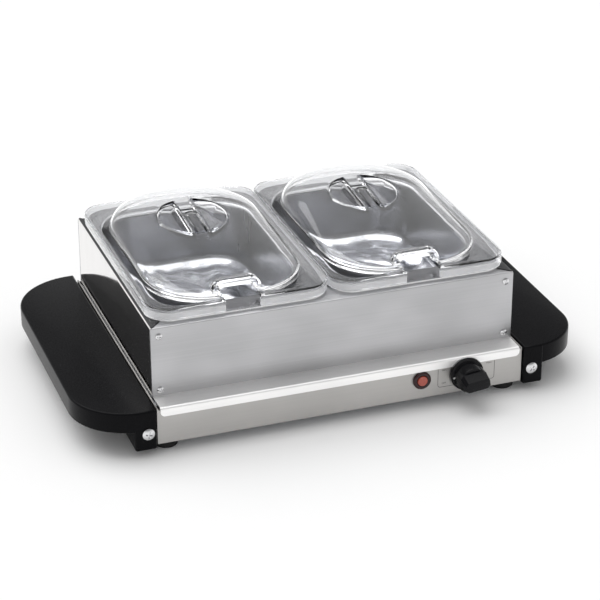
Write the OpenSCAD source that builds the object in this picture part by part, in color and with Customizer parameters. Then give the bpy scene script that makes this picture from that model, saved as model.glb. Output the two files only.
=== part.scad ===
// Two-pan electric buffet server: a warming base with end handles, a lift-off
// frame, two steel pans and two clear lids. Millimetres, front towards -Y.
// The origin is on the floor, under the middle of the whole object.

/* [Base housing] */
// How far each side wall stands outside the frame
base_side = 2.2; // [1.6:0.1:4]
// How far the back wall stands behind the frame
base_back = 6; // [4:0.5:12]
// Height of the side walls
base_h = 36; // [34:0.5:44]
// Thickness of the base's sheet steel
base_sheet = 1.2; // [0.8:0.1:1.6]
// Width of the flanges that the bottom plate is screwed to
bottom_flange_w = 12; // [10:0.5:16]
// Play around the bottom plate
bottom_play = 0.3; // [0.1:0.1:1]
// Distance of the bottom screws from the front panel and the back wall
bottom_screw_in = 60; // [50:1:80]

/* [Warming plate] */
// Open joint between the plate and each side wall
plate_joint = 1.8; // [0.5:0.1:3]
// Height of the lip turned down over the front panel
lip_h = 7.6; // [6:0.2:8]
// Radius of the lip's lower corners
lip_corner_r = 4.5; // [2:0.5:6]
// Play between the lip and the front panel
lip_play = 0.2; // [0.1:0.1:0.5]
// Depth of the ledge in front of the frame
ledge_d = 22; // [18:1:30]
// Width of the two angle rails that carry the plate
rail_w = 10; // [8:0.5:14]

/* [Feet] */
// Height of the rubber feet
foot_h = 10; // [9:0.5:20]
// Radius of a foot
foot_r = 11; // [9:0.5:14]
// Distance from the side wall to a foot's centre
foot_inset_x = 12.2; // [12:0.2:30]
// Distance from the panel or the back wall to the foot's centre
foot_inset_y = 17; // [14:0.5:30]

/* [End caps] */
// Gap between the side wall and a cap
cap_gap = 1.3; // [1.3:0.1:3]
// Width of a cap
cap_w = 68.5; // [60:0.5:80]
// Overhang of the caps in front of the front panel
cap_front = 3; // [2:0.5:4]
// Overhang of the caps behind the back wall
cap_back = 12; // [8:0.5:16]
// How far the caps' top stands above the warming plate
cap_rise = 1; // [0.5:0.5:3]
// Height of the lip under a cap's outer edge
cap_lip_h = 20; // [16:1:26]
// Wall of the moulding
cap_wall = 3; // [2:0.5:4]
// Radius of the front corners
cap_front_r = 57; // [45:1:60]
// Radius of the back corners
cap_back_r = 64; // [45:1:66]
// Width of the leg blocks at the ends of a cap
leg_w = 20.5; // [18:0.5:26]
// Depth of the leg blocks
leg_d = 36; // [30:1:44]
// Height of the leg blocks above the floor
leg_z = 7; // [6:0.5:9]
// Thickness of a leg block's end wall, which the screw passes through
leg_front_wall = 6; // [4:0.5:8]

/* [Cap screws] */
// Head radius
cap_screw_head_r = 5.8; // [5:0.1:6.5]
// Head height
cap_screw_head_h = 3; // [2:0.5:4]
// Shank radius
cap_screw_r = 2.2; // [1.5:0.1:2.5]
// Distance of the screw from the cap's inner edge
cap_screw_in = 8.2; // [7.5:0.1:10]
// Height of the screw above the floor
cap_screw_z = 24; // [20:0.5:30]

/* [Frame] */
// Margin between a pan's rim and the frame's side
frame_side_margin = 2.5; // [2:0.5:12]
// Margin between a pan's rim and the frame's front
frame_front_margin = 5.75; // [3:0.25:12]
// Margin between a pan's rim and the frame's back
frame_back_margin = 1.25; // [1:0.25:12]
// Height of the frame
frame_h = 71; // [68:1:90]
// Thickness of the frame's sheet steel
frame_sheet = 1; // [0.8:0.1:1.2]
// Length of the front panel's wrap around each side
wrap_d = 2.5; // [2:0.5:5]
// Width of the side panels' inner returns
return_w = 14; // [12:0.5:18]
// Width of the feet turned in under the panels
frame_foot_w = 8; // [6:0.5:10]
// Depth of the channel between the pans
divider_h = 16; // [10:1:24]

/* [Frame screws] */
// Head radius
frame_screw_head_r = 3.3; // [2.5:0.1:4]
// Head height
frame_screw_head_h = 1.8; // [1.2:0.1:2.4]
// Shank radius
frame_screw_r = 1.7; // [1.2:0.1:2]
// Shank length
frame_screw_len = 7; // [5:0.5:10]
// Distance of the screws from the frame's side
frame_screw_in = 7.8; // [7:0.1:9]
// Distance of the top screws from the frame's top
frame_screw_down = 9; // [8:0.5:14]
// Distance of the bottom screws from the warming plate
frame_screw_up = 7.6; // [7:0.1:12]

/* [Pans] */
// Gap between the two pans' rims
pan_gap = 2; // [1.5:0.5:20]
// Width of a pan's rim
rim_w = 176.5; // [150:0.5:200]
// Depth of a pan's rim
rim_d = 255; // [230:0.5:300]
// Corner radius of the rim
rim_r = 23; // [18:0.5:26]
// Height of the turned-down rim
rim_h = 3.4; // [3:0.1:6]
// Thickness of the pan's sheet steel
pan_sheet = 0.8; // [0.6:0.1:1]
// Width of the flange at each side of the bowl
flange_side = 13.25; // [6:0.25:16]
// Width of the flange in front of the bowl
flange_front = 25.5; // [12:0.5:30]
// Width of the flange behind the bowl
flange_back = 10.5; // [8:0.5:16]
// Radius of the bowl's front corners
bowl_front_r = 60; // [40:1:66]
// Radius of the bowl's back corners
bowl_back_r = 40; // [30:1:50]
// Depth of a pan below its rim
pan_h = 63; // [50:1:68]
// Play between a bowl and the frame's opening
pan_play = 1.2; // [0.8:0.1:1.4]

/* [Lids] */
// Overhang of a lid beyond the pan's rim at each side
lid_over_side = 0.5; // [0:0.1:2]
// Overhang of a lid beyond the pan's rim at the front and the back
lid_over_end = 0.75; // [0:0.05:2]
// Corner radius of a lid
lid_r = 24; // [20:0.5:28]
// Height of a lid's skirt
skirt_h = 10.4; // [9:0.2:14]
// Wall of the clear moulding
lid_wall = 2.2; // [1.8:0.1:2.6]
// Width of the lid's flange at each side of the dome
ledge_side = 12.75; // [4:0.25:16]
// Width of the lid's flange in front of the dome
ledge_front = 10.25; // [8:0.25:14]
// Width of the lid's flange behind the dome
ledge_back = 6.25; // [5:0.25:14]
// Radius of the dome's front corners
dome_front_r = 60; // [40:1:70]
// Radius of the dome's back corners
dome_back_r = 72; // [36:1:73]
// Height of the dome's middle above the flange
dome_h = 15.8; // [14:0.1:22]
// How much the dome rises towards the back, as a share of its height
dome_tilt = 0.8; // [0.4:0.01:0.85]

/* [Lid handle] */
// Radius of the finger recess
grip_r = 34.5; // [32:0.5:38]
// Width of the bar between the two finger pockets
grip_bar_w = 19; // [16:0.5:26]
// Depth of the finger pockets beside the bar
grip_depth = 6; // [6:0.5:10]
// Slope of the pockets' floor, up from the bar
grip_floor_slope = 10; // [0:1:18]
// Distance of the recess behind the lid's middle
grip_back = 30; // [28:1:38]

/* [Spoon notch] */
// Width of the notch
notch_w = 34; // [28:1:40]
// Height of the notch above the flange
notch_rise = 5; // [3:0.5:6]
// Thickness of the bead around the notch
bead_t = 6.5; // [5:0.5:8]
// Distance of the bead's face behind the lid's front edge
bead_in = 18; // [16:1:22]
// Depth of the bead
bead_d = 11; // [8:0.5:14]

/* [Controls] */
// Distance of the knob from the right side wall
knob_in = 58.2; // [48:0.2:70]
// Distance of the lamp from the knob
lamp_knob = 45.6; // [36:0.2:60]
// Gap between the lamp's bezel and the plate's lip
lamp_clear = 0.2; // [0.1:0.1:1]
// Radius of the knob's skirt
knob_r = 16.6; // [15:0.1:18]
// Thickness of the knob's skirt
knob_skirt_t = 3.5; // [2.5:0.1:5]
// Radius of the knob's hub
hub_r = 12.5; // [11:0.1:14]
// Reach of the knob in front of the front panel
knob_reach = 30; // [27:0.5:34]
// Thickness of the grip at its front face
grip_front_t = 10; // [8:0.5:12]
// Thickness of the grip at its root
grip_root_t = 18; // [15:0.5:20]
// Depth of the grip's sloped part
grip_slope_d = 10; // [8:0.5:12]
// Angle that the pointer hangs below the horizontal
knob_turn = 6.4; // [0:0.1:20]
// Radius of the thermostat's shaft
shaft_r = 3; // [2.5:0.1:3.5]
// Running play around the shaft
shaft_play = 0.06; // [0.02:0.01:0.1]
// Radius of the thermostat's threaded bush
bush_r = 5; // [4.5:0.1:5.5]
// Radius of the lamp's bezel
bezel_r = 9; // [8:0.1:10]
// Thickness of the lamp's bezel
bezel_t = 3; // [2:0.1:4]
// Radius of the lamp's lens
lens_r = 5; // [4:0.1:5.4]
// Wall of the lamp's barrel
barrel_wall = 1; // [0.8:0.1:1.2]

/* [Heater] */
// Radius of the tubular element
element_r = 3.25; // [3:0.05:4]
// Distance of the outer runs from the front panel and the back wall
run_end = 70; // [60:1:80]
// Distance of the straight runs' ends from the frame's sides
run_side = 60; // [55:1:80]
// Distance of the clamping straps from the straight runs' ends
strap_in = 30; // [25:1:50]
// Width of a clamping strap
strap_w = 14; // [12:0.5:18]
// Thickness of a clamping strap
strap_t = 2; // [1.5:0.1:2.5]
// Distance of the heat shield from the frame's sides
shield_side = 30; // [26:1:34]
// Distance of the heat shield from the front panel
shield_front = 41; // [36:1:46]
// Distance of the heat shield from the back wall
shield_back = 34; // [24:1:40]
// Thickness of the heat shield
shield_t = 0.6; // [0.4:0.1:0.8]
// Radius of the welded studs
stud_r = 2; // [1.5:0.1:2.5]
// Height of the stud nuts
stud_nut_h = 3.2; // [2.5:0.1:3.4]

/* [Mains entry] */
// Distance of the cord gland from the right side wall
gland_in = 52.2; // [42:0.2:72]
// Height of the gland above the base's bottom edge
gland_up = 17; // [15:0.5:19]
// Radius of the gland's flange
gland_flange_r = 9; // [8.4:0.1:10]
// Radius of the gland's barrel
gland_r = 7; // [6:0.1:7.4]
// Radius of the gland's bore for the mains cord
gland_bore_r = 3.6; // [3:0.1:4.2]
// Thickness of the gland's flange
gland_flange_t = 4; // [3:0.5:6]
// Length of the gland behind the back wall's inner face
gland_tail = 10; // [8:0.5:14]

/* [Hidden] */
$fn = 64;

// Sizes that follow the pans
pan_pitch = rim_w + pan_gap;
bowl_w = rim_w - 2 * flange_side;
bowl_front = rim_d / 2 - flange_front;
bowl_back = rim_d / 2 - flange_back;
frame_w = 2 * rim_w + pan_gap + 2 * frame_side_margin;
frame_d = rim_d + frame_front_margin + frame_back_margin;
base_w = frame_w + 2 * base_side;
base_d = ledge_d + frame_d + base_back;
lid_w = rim_w + 2 * lid_over_side;
lid_d = rim_d + 2 * lid_over_end;
dome_half_w = lid_w / 2 - ledge_side;
dome_front = lid_d / 2 - ledge_front;
dome_back = lid_d / 2 - ledge_back;

// Places along the depth
depth_all = knob_reach + base_d + cap_back;
panel_y = knob_reach - depth_all / 2;
panel_in = panel_y + base_sheet;
back_y = panel_y + base_d;
back_in = back_y - base_sheet;
frame_y0 = panel_y + ledge_d;
frame_y1 = frame_y0 + frame_d;
pan_y = frame_y0 + frame_front_margin + rim_d / 2;

// Places up the height
base_z = foot_h;
plate_top = foot_h + base_h;
plate_under = plate_top - base_sheet;
floor_z = base_z + base_sheet;
frame_top = plate_top + frame_h;
rim_top = frame_top + rim_h;
flange_top = rim_top + skirt_h;
control_z = plate_top - lip_h - lamp_clear - bezel_r;
cap_top = plate_top + cap_rise;

// Places across the width
base_in = base_w / 2 - base_sheet;
plate_half = base_in - plate_joint;
cap_in = base_w / 2 + cap_gap;
cap_out = cap_in + cap_w;
cap_y0 = panel_y - cap_front;
cap_y1 = back_y + cap_back;
side_out = frame_w / 2 - frame_sheet;
open_half = bowl_w / 2 + pan_sheet + pan_play;
open_y0 = pan_y - bowl_front - pan_sheet - pan_play;
open_y1 = pan_y + bowl_back + pan_sheet + pan_play;
divider_half = pan_pitch / 2 - open_half;
side_flange_in = pan_pitch / 2 + open_half;

knob_x = base_w / 2 - knob_in;
lamp_x = knob_x - lamp_knob;
gland_x = base_w / 2 - gland_in;

// Small parts
play = 0.05;
hole_play = 0.2;
thread_play = 0.05;
cut = 1;
m4_nut_r = 4;
bottom_screw_r = 1.6;
bottom_screw_head_r = 3;
bottom_screw_head_h = 1.6;
bottom_screw_len = 6;
foot_screw_r = 2;
foot_screw_head_r = 4;
foot_recess = 4;
element_z = plate_under - element_r;
strap_z = element_z - element_r - strap_t;
shield_z = strap_z - stud_nut_h - shield_t;
runs_y = (panel_y + back_y) / 2;
run_pitch = (base_d - 2 * run_end) / 3;
run_len = frame_w - 2 * run_side;
strap_x = run_len / 2 - strap_in;
shield_w = frame_w - 2 * shield_side;
shield_d = base_d - shield_front - shield_back;
stud_y = [runs_y - run_pitch, runs_y + run_pitch];
strap_reach = 1.88 * run_pitch;
pin_len = 14;
bracket_t = 1.2;
bracket_h = 20;
bracket_base_d = 30;
tab_w = 12;
knob_back = panel_y - 1.5;
knob_front = panel_y - knob_reach;
lamp_barrel = 16;
block_pos = [base_w / 2 - 72.2, back_y - 44];
block_size = [30, 20, 14];
block_ways = [-10, 0, 10];
block_floor_t = 6;
way_screw_h = 6;
way_screw_r = 2.4;

// ---- Shared shapes -------------------------------------------------------

// Rounded rectangle about the middle with its own radius for front and back
module tray_outline(half_w, front, back, front_r, back_r) {
    polygon([
        [-half_w + front_r, -front], [half_w - front_r, -front],
        [half_w, -front + front_r], [half_w, back - back_r],
        [half_w - back_r, back], [-half_w + back_r, back],
        [-half_w, back - back_r], [-half_w, -front + front_r]
    ]);
    for (side = [-1, 1]) {
        translate([side * (half_w - front_r), -front + front_r]) circle(front_r);
        translate([side * (half_w - back_r), back - back_r]) circle(back_r);
    }
}

// Pan-head screw along Z: the head above z = 0 with a cross recess, the shank below
module pan_screw(head_r, head_h, shank_r, shank_len) {
    slot_w = head_r * 0.26;
    difference() {
        union() {
            cylinder(r = head_r, h = head_h * 0.55);
            translate([0, 0, head_h * 0.55]) cylinder(r1 = head_r, r2 = head_r * 0.62, h = head_h * 0.45);
            translate([0, 0, -shank_len]) cylinder(r = shank_r, h = shank_len);
        }
        for (turn = [0, 90]) rotate([0, 0, turn])
            translate([-head_r * 0.55, -slot_w / 2, head_h * 0.45])
                cube([head_r * 1.1, slot_w, head_h]);
    }
}

// Hexagon nut along Z, standing on z = 0
module hex_nut(corner_r, height, bore_r) {
    difference() {
        cylinder(r = corner_r, h = height, $fn = 6);
        translate([0, 0, -cut]) cylinder(r = bore_r, h = height + 2 * cut);
    }
}

// Turns a shape that points along +Z so that it points out of the front
module to_front() {
    rotate([90, 0, 0]) children();
}

// Turns a shape that points along +Z so that it points out of the back
module to_back() {
    rotate([-90, 0, 0]) children();
}

// Both of a pair that is mirrored across the middle
module both_sides() {
    children();
    mirror([1, 0, 0]) children();
}

// ---- Base ----------------------------------------------------------------

foot_x = base_w / 2 - foot_inset_x;
foot_y = [panel_y + foot_inset_y, back_y - foot_inset_y];
bottom_screw_x = [-base_in + bottom_flange_w / 2, base_in - bottom_flange_w / 2];
bottom_screw_y = [panel_in + bottom_screw_in, back_in - bottom_screw_in];

module base_housing() color("lightgray") {
    wall_top = plate_under - lip_play;
    difference() {
        union() {
            for (y = [panel_y, back_in])
                translate([-base_w / 2, y, base_z]) cube([base_w, base_sheet, wall_top - base_z]);
            both_sides() {
                translate([base_in, panel_y, base_z]) cube([base_sheet, base_d, base_h]);
                translate([base_in - bottom_flange_w, panel_in, floor_z])
                    cube([bottom_flange_w, back_in - panel_in, base_sheet]);
            }
        }
        translate([knob_x, panel_in + cut, control_z])
            to_front() cylinder(r = bush_r + hole_play, h = base_sheet + 2 * cut);
        translate([lamp_x, panel_in + cut, control_z])
            to_front() cylinder(r = lens_r + barrel_wall + hole_play, h = base_sheet + 2 * cut);
        translate([gland_x, back_in - cut, base_z + gland_up])
            to_back() cylinder(r = gland_r + hole_play, h = base_sheet + 2 * cut);
        for (x = bottom_screw_x, y = bottom_screw_y)
            translate([x, y, base_z]) cylinder(r = bottom_screw_r + thread_play, h = 3 * base_sheet);
        for (x = [-foot_x, foot_x], y = foot_y)
            translate([x, y, base_z]) cylinder(r = m4_nut_r + 1, h = 3 * base_sheet);
    }
}

module bottom_plate() color("gray") {
    slot_w = 3;
    slot_len = 40;
    difference() {
        translate([-base_in + bottom_play, panel_in + bottom_play, base_z])
            cube([2 * (base_in - bottom_play), back_in - panel_in - 2 * bottom_play, base_sheet]);
        for (x = [-foot_x, foot_x], y = foot_y)
            translate([x, y, base_z - cut])
                cylinder(r = foot_screw_r + thread_play, h = base_sheet + 2 * cut);
        for (x = bottom_screw_x, y = bottom_screw_y)
            translate([x, y, base_z - cut])
                cylinder(r = bottom_screw_r + hole_play, h = base_sheet + 2 * cut);
        // Vent slots
        for (column = [-1, 1], row = [-3 : 3])
            translate([column * 60 - slot_len / 2, row * 4 * slot_w + runs_y - slot_w / 2, base_z - cut])
                cube([slot_len, slot_w, base_sheet + 2 * cut]);
    }
}

module bottom_screws() color("silver") {
    for (x = bottom_screw_x, y = bottom_screw_y)
        translate([x, y, base_z]) mirror([0, 0, 1])
            pan_screw(bottom_screw_head_r, bottom_screw_head_h, bottom_screw_r, bottom_screw_len);
}

module rubber_feet() color("black") {
    for (x = [-foot_x, foot_x], y = foot_y)
        translate([x, y, 0]) difference() {
            union() {
                cylinder(r1 = foot_r - 1, r2 = foot_r, h = 1);
                translate([0, 0, 1]) cylinder(r = foot_r, h = foot_h - 1);
            }
            translate([0, 0, -cut]) cylinder(r = foot_screw_head_r + 1, h = foot_recess + cut);
            translate([0, 0, -cut]) cylinder(r = foot_screw_r + hole_play, h = foot_h + 2 * cut);
        }
}

module foot_screws() color("silver") {
    head_h = 2.4;
    for (x = [-foot_x, foot_x], y = foot_y)
        translate([x, y, foot_recess]) mirror([0, 0, 1])
            pan_screw(foot_screw_head_r, head_h, foot_screw_r, foot_h - foot_recess + base_sheet + 4);
}

module foot_nuts() color("silver") {
    for (x = [-foot_x, foot_x], y = foot_y)
        translate([x, y, floor_z]) hex_nut(m4_nut_r, 3.2, foot_screw_r + thread_play);
}

module plate_rails() color("gray") {
    both_sides() {
        translate([base_in - base_sheet, panel_in + 8, plate_under - rail_w])
            cube([base_sheet, back_in - panel_in - 16, rail_w]);
        translate([base_in - rail_w, panel_in + 8, plate_under - base_sheet])
            cube([rail_w, back_in - panel_in - 16, base_sheet]);
    }
}

module warming_plate() color("silver") {
    lip_y = panel_y - lip_play - base_sheet;
    translate([-plate_half, lip_y, plate_under])
        cube([2 * plate_half, back_in - lip_play - lip_y, base_sheet]);
    translate([0, lip_y + base_sheet, 0]) to_front() linear_extrude(base_sheet) {
        translate([-plate_half, plate_top - lip_h + lip_corner_r])
            square([2 * plate_half, lip_h - lip_corner_r]);
        translate([-plate_half + lip_corner_r, plate_top - lip_h])
            square([2 * (plate_half - lip_corner_r), lip_h]);
        for (side = [-1, 1])
            translate([side * (plate_half - lip_corner_r), plate_top - lip_h + lip_corner_r])
                circle(lip_corner_r);
    }
}

// ---- Heater --------------------------------------------------------------

module plate_studs() color("silver") {
    stud_end = shield_z - stud_nut_h - 0.8;
    for (x = [-strap_x, strap_x], y = stud_y)
        translate([x, y, stud_end]) cylinder(r = stud_r, h = plate_under - stud_end);
}

// Half ring of the element with its open side towards +X
module element_bend() {
    difference() {
        rotate_extrude() translate([run_pitch / 2, 0]) circle(element_r);
        translate([0, -run_pitch, -2 * element_r]) cube([run_pitch, 2 * run_pitch, 4 * element_r]);
    }
}

module heating_element() color("dimgray") {
    pin_r = 1.2;
    translate([0, runs_y, element_z]) {
        for (row = [-1.5, -0.5, 0.5, 1.5])
            translate([-run_len / 2, row * run_pitch, 0]) rotate([0, 90, 0])
                cylinder(r = element_r, h = run_len);
        for (row = [-1, 1])
            translate([-run_len / 2, row * run_pitch, 0]) element_bend();
        translate([run_len / 2, 0, 0]) mirror([1, 0, 0]) element_bend();
        for (row = [-1.5, 1.5])
            translate([run_len / 2, row * run_pitch, 0]) rotate([0, 90, 0])
                cylinder(r = pin_r, h = pin_len);
    }
}

module element_straps() color("silver") {
    for (x = [-strap_x, strap_x])
        difference() {
            translate([x - strap_w / 2, runs_y - strap_reach, strap_z])
                cube([strap_w, 2 * strap_reach, strap_t]);
            for (y = stud_y)
                translate([x, y, strap_z - cut]) cylinder(r = stud_r + hole_play, h = strap_t + 2 * cut);
        }
}

module heat_shield() color("gainsboro") {
    difference() {
        translate([-shield_w / 2, panel_y + shield_front, shield_z]) cube([shield_w, shield_d, shield_t]);
        for (x = [-strap_x, strap_x], y = stud_y)
            translate([x, y, shield_z - cut]) cylinder(r = stud_r + hole_play, h = shield_t + 2 * cut);
    }
}

module stud_nuts() color("silver") {
    for (x = [-strap_x, strap_x], y = stud_y, z = [strap_z - stud_nut_h, shield_z - stud_nut_h])
        translate([x, y, z]) hex_nut(m4_nut_r, stud_nut_h, stud_r + thread_play);
}

fuse_r = 2.2;
fuse_len = 12;
fuse_z = plate_under - fuse_r - 0.3;

module thermal_fuse() color("tan") {
    lead_r = 0.5;
    lead_len = 12;
    translate([0, runs_y, fuse_z]) rotate([0, 90, 0]) {
        translate([0, 0, -fuse_len / 2]) cylinder(r = fuse_r, h = fuse_len);
        translate([0, 0, -fuse_len / 2 - lead_len]) cylinder(r = lead_r, h = fuse_len + 2 * lead_len);
    }
}

module fuse_clip() color("silver") {
    clip_w = 6;
    clip_d = 2 * fuse_r + 2;
    clip_h = fuse_r + plate_under - fuse_z + 1;
    difference() {
        translate([-clip_w / 2, runs_y - clip_d / 2, plate_under - clip_h]) cube([clip_w, clip_d, clip_h]);
        translate([-clip_w, runs_y, fuse_z]) rotate([0, 90, 0]) cylinder(r = fuse_r + play, h = 2 * clip_w);
    }
}

// ---- Controls ------------------------------------------------------------

stat_size = [30, 20, 25];
stat_front = panel_in + 6;
stat_back = stat_front + stat_size[1];
shaft_end = stat_back - 5;
bush_end = panel_y - 3.4;
stat_nut_h = 2.4;
tab_size = [6.3, 8, 0.8];
tab_pitch = 16;

module thermostat() color("wheat") {
    translate([knob_x, 0, control_z]) difference() {
        union() {
            translate([-stat_size[0] / 2, stat_front, -stat_size[2] / 2]) cube(stat_size);
            translate([0, stat_front, 0]) to_front() cylinder(r = bush_r, h = stat_front - bush_end);
            translate([0, stat_front, 0]) to_front() cylinder(r = bush_r + 3, h = stat_front - panel_in);
            for (x = [-tab_pitch / 2, tab_pitch / 2])
                translate([x - tab_size[0] / 2, stat_back - 1, -tab_size[2] / 2]) cube(tab_size);
        }
        translate([0, shaft_end + 1, 0]) to_front()
            cylinder(r = shaft_r + shaft_play, h = shaft_end + 1 - bush_end + cut);
    }
}

module thermostat_nut() color("silver") {
    translate([knob_x, panel_y, control_z]) to_front()
        hex_nut(bush_r + 2.4, stat_nut_h, bush_r + thread_play);
}

module thermostat_shaft() color("silver") {
    shaft_front = knob_front + 9;
    translate([knob_x, shaft_end, control_z]) to_front() cylinder(r = shaft_r, h = shaft_end - shaft_front);
}

// Knob about its own axis: the skirt's back on z = 0, the pointer towards -X
module knob_shape() {
    knob_h = knob_back - knob_front;
    hub_h = knob_h - grip_slope_d;
    nut_room = 4;
    grip_len = 27;
    shaft_depth = knob_h - 8;
    difference() {
        union() {
            cylinder(r = knob_r, h = knob_skirt_t);
            cylinder(r1 = hub_r + 1, r2 = hub_r, h = hub_h - 2);
            intersection() {
                translate([-grip_len / 2, 0, 0]) rotate([90, 0, 90]) linear_extrude(grip_len)
                    polygon([
                        [-grip_root_t / 2, 1], [grip_root_t / 2, 1], [grip_root_t / 2, hub_h],
                        [grip_front_t / 2, knob_h], [-grip_front_t / 2, knob_h], [-grip_root_t / 2, hub_h]
                    ]);
                cylinder(r1 = grip_len / 2 + 2, r2 = grip_len / 2, h = knob_h);
            }
        }
        translate([0, 0, -cut]) cylinder(r = bush_r + 3.4, h = nut_room + cut);
        translate([0, 0, -cut]) cylinder(r = shaft_r + play, h = shaft_depth + cut);
        // Pointer dot
        translate([-knob_r + 2.6, 0, knob_skirt_t - 0.5]) cylinder(r = 1.2, h = 2);
    }
}

module control_knob() color("#141416") {
    translate([knob_x, knob_back, control_z]) rotate([0, -knob_turn, 0]) to_front() knob_shape();
}

module lamp_bezel() color("#4a0a10") {
    translate([lamp_x, panel_y, control_z]) difference() {
        union() {
            to_front() cylinder(r = bezel_r, h = bezel_t - 0.8);
            translate([0, -bezel_t + 0.8, 0]) to_front()
                cylinder(r1 = bezel_r, r2 = bezel_r - 0.8, h = 0.8);
            to_back() cylinder(r = lens_r + barrel_wall, h = lamp_barrel);
        }
        translate([0, -bezel_t - cut, 0]) to_back()
            cylinder(r = lens_r + play, h = bezel_t + cut + lamp_barrel - barrel_wall);
    }
}

module lamp_lens() color("#d2432b") {
    translate([lamp_x, panel_y + 2, control_z]) to_front() {
        cylinder(r = lens_r, h = bezel_t + 2);
        translate([0, 0, bezel_t + 2]) cylinder(r1 = lens_r, r2 = lens_r - 1, h = 0.8);
    }
}

module neon_lamp() color("orange") {
    translate([lamp_x, panel_y + 3, control_z]) to_back()
        cylinder(r = 2.6, h = lamp_barrel - barrel_wall - 3);
}

module lamp_clip() color("silver") {
    clip_t = 1.2;
    translate([lamp_x, panel_in, control_z]) to_back() difference() {
        cylinder(r = bezel_r - 0.5, h = clip_t);
        translate([0, 0, -cut]) cylinder(r = lens_r + barrel_wall + play, h = clip_t + 2 * cut);
    }
}

// ---- Wiring --------------------------------------------------------------

module terminal_block() color("ivory") {
    difference() {
        translate([block_pos[0] - block_size[0] / 2, block_pos[1] - block_size[1] / 2, floor_z])
            cube(block_size);
        for (x = block_ways)
            translate([block_pos[0] + x, block_pos[1], floor_z + block_floor_t])
                cylinder(r = way_screw_r + 2 * play, h = block_size[2]);
    }
}

module terminal_screws() color("goldenrod") {
    slot_w = 0.8;
    for (x = block_ways)
        translate([block_pos[0] + x, block_pos[1], floor_z + block_floor_t]) difference() {
            cylinder(r = way_screw_r, h = way_screw_h);
            translate([-block_size[1] / 2, -slot_w / 2, way_screw_h - 1]) cube([block_size[1], slot_w, 2]);
        }
}

wire_r = 1.1;
wire_low = floor_z + 6;
wire_floor = floor_z + 4;
wire_drop = 60;
wire_room = 8;
wire_tab = tab_pitch / 2;
wire_pair = 2.5;
wire_x = shield_w / 2 + wire_room;

// Point of a smooth curve through four points, at the share t of the middle stretch
function curve_point(p0, p1, p2, p3, t) =
    0.5 * (2 * p1 + (p2 - p0) * t + (2 * p0 - 5 * p1 + 4 * p2 - p3) * t * t
        + (3 * p1 - p0 - 3 * p2 + p3) * t * t * t);

// One insulated wire along a smooth curve through a list of points
module wire(points) {
    sides = 8;
    steps = 4;
    last = len(points) - 1;
    path = concat(
        [for (i = [0 : last - 1], k = [0 : steps - 1])
            curve_point(points[max(0, i - 1)], points[i], points[i + 1], points[min(last, i + 2)],
                k / steps)],
        [points[last]]
    );
    n = len(path);
    rings = [for (i = [0 : n - 1])
        let (along = path[min(n - 1, i + 1)] - path[max(0, i - 1)], across = cross(along, [0, 0, 1]))
        let (side = across / norm(across), up = cross(side, along) / norm(along))
        for (j = [0 : sides - 1])
            path[i] + wire_r * (cos(j * 360 / sides) * side + sin(j * 360 / sides) * up)];
    polyhedron(rings, concat(
        [[for (j = [0 : sides - 1]) sides - 1 - j]],
        [for (i = [0 : n - 2], j = [0 : sides - 1])
            let (a = i * sides + j, b = i * sides + (j + 1) % sides) [a, b, b + sides]],
        [for (i = [0 : n - 2], j = [0 : sides - 1])
            let (a = i * sides + j, b = i * sides + (j + 1) % sides) [a, b + sides, a + sides]],
        [[for (j = [0 : sides - 1]) (n - 1) * sides + j]]
    ));
}

block_front = block_pos[1] - block_size[1] / 2;
block_right = block_pos[0] + block_size[0] / 2;
tab_y = stat_back - 1 + tab_size[1] + 0.2;
lamp_back = panel_y + lamp_barrel;
pin_x = run_len / 2 + pin_len;
pin_y = 1.5 * run_pitch;

module wiring() color("white") {
    // Terminal block to thermostat
    wire([[block_pos[0] - 6, block_front, wire_low], [block_pos[0] - 6, tab_y + wire_drop, wire_low],
          [knob_x - wire_tab, tab_y, control_z]]);
    // Thermostat to the element's front end
    wire([[knob_x + wire_tab, tab_y, control_z], [wire_x, tab_y + 2 * wire_tab, control_z + 4],
          [wire_x, runs_y - pin_y - wire_room, element_z - 3], [pin_x, runs_y - pin_y, element_z]]);
    // The element's back end to the terminal block
    wire([[pin_x, runs_y + pin_y, element_z], [wire_x, runs_y + pin_y + wire_room, element_z - 3],
          [wire_x + 2, block_pos[1] - 4, wire_low + 6], [block_right, block_pos[1], wire_low + 3]]);
    // Lamp to terminal block, there and back
    wire([[lamp_x - wire_pair, lamp_back, control_z], [lamp_x - wire_pair, lamp_back + wire_drop,
        wire_floor],
          [block_pos[0] - 13, block_front, wire_floor]]);
    wire([[lamp_x + wire_pair, lamp_back, control_z], [lamp_x + 6, lamp_back + wire_drop, wire_low + 6],
          [block_pos[0], block_front - wire_drop, wire_low + 5], [block_pos[0] + 1, block_front,
              wire_low]]);
}

module cord_gland() color("#1a1a1a") {
    gland_len = gland_flange_t + base_sheet + gland_tail;
    translate([gland_x, back_y + gland_flange_t, base_z + gland_up]) to_front() difference() {
        union() {
            cylinder(r1 = gland_flange_r - 1, r2 = gland_flange_r, h = 1);
            translate([0, 0, 1]) cylinder(r = gland_flange_r, h = gland_flange_t - 1);
            cylinder(r = gland_r, h = gland_len);
        }
        translate([0, 0, -cut]) cylinder(r = gland_bore_r, h = gland_len + 2 * cut);
    }
}

module gland_nut() color("#1a1a1a") {
    nut_t = 4;
    translate([gland_x, back_in, base_z + gland_up]) to_front()
        hex_nut(gland_r + 4, nut_t, gland_r + thread_play);
}

// ---- End caps ------------------------------------------------------------

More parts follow.
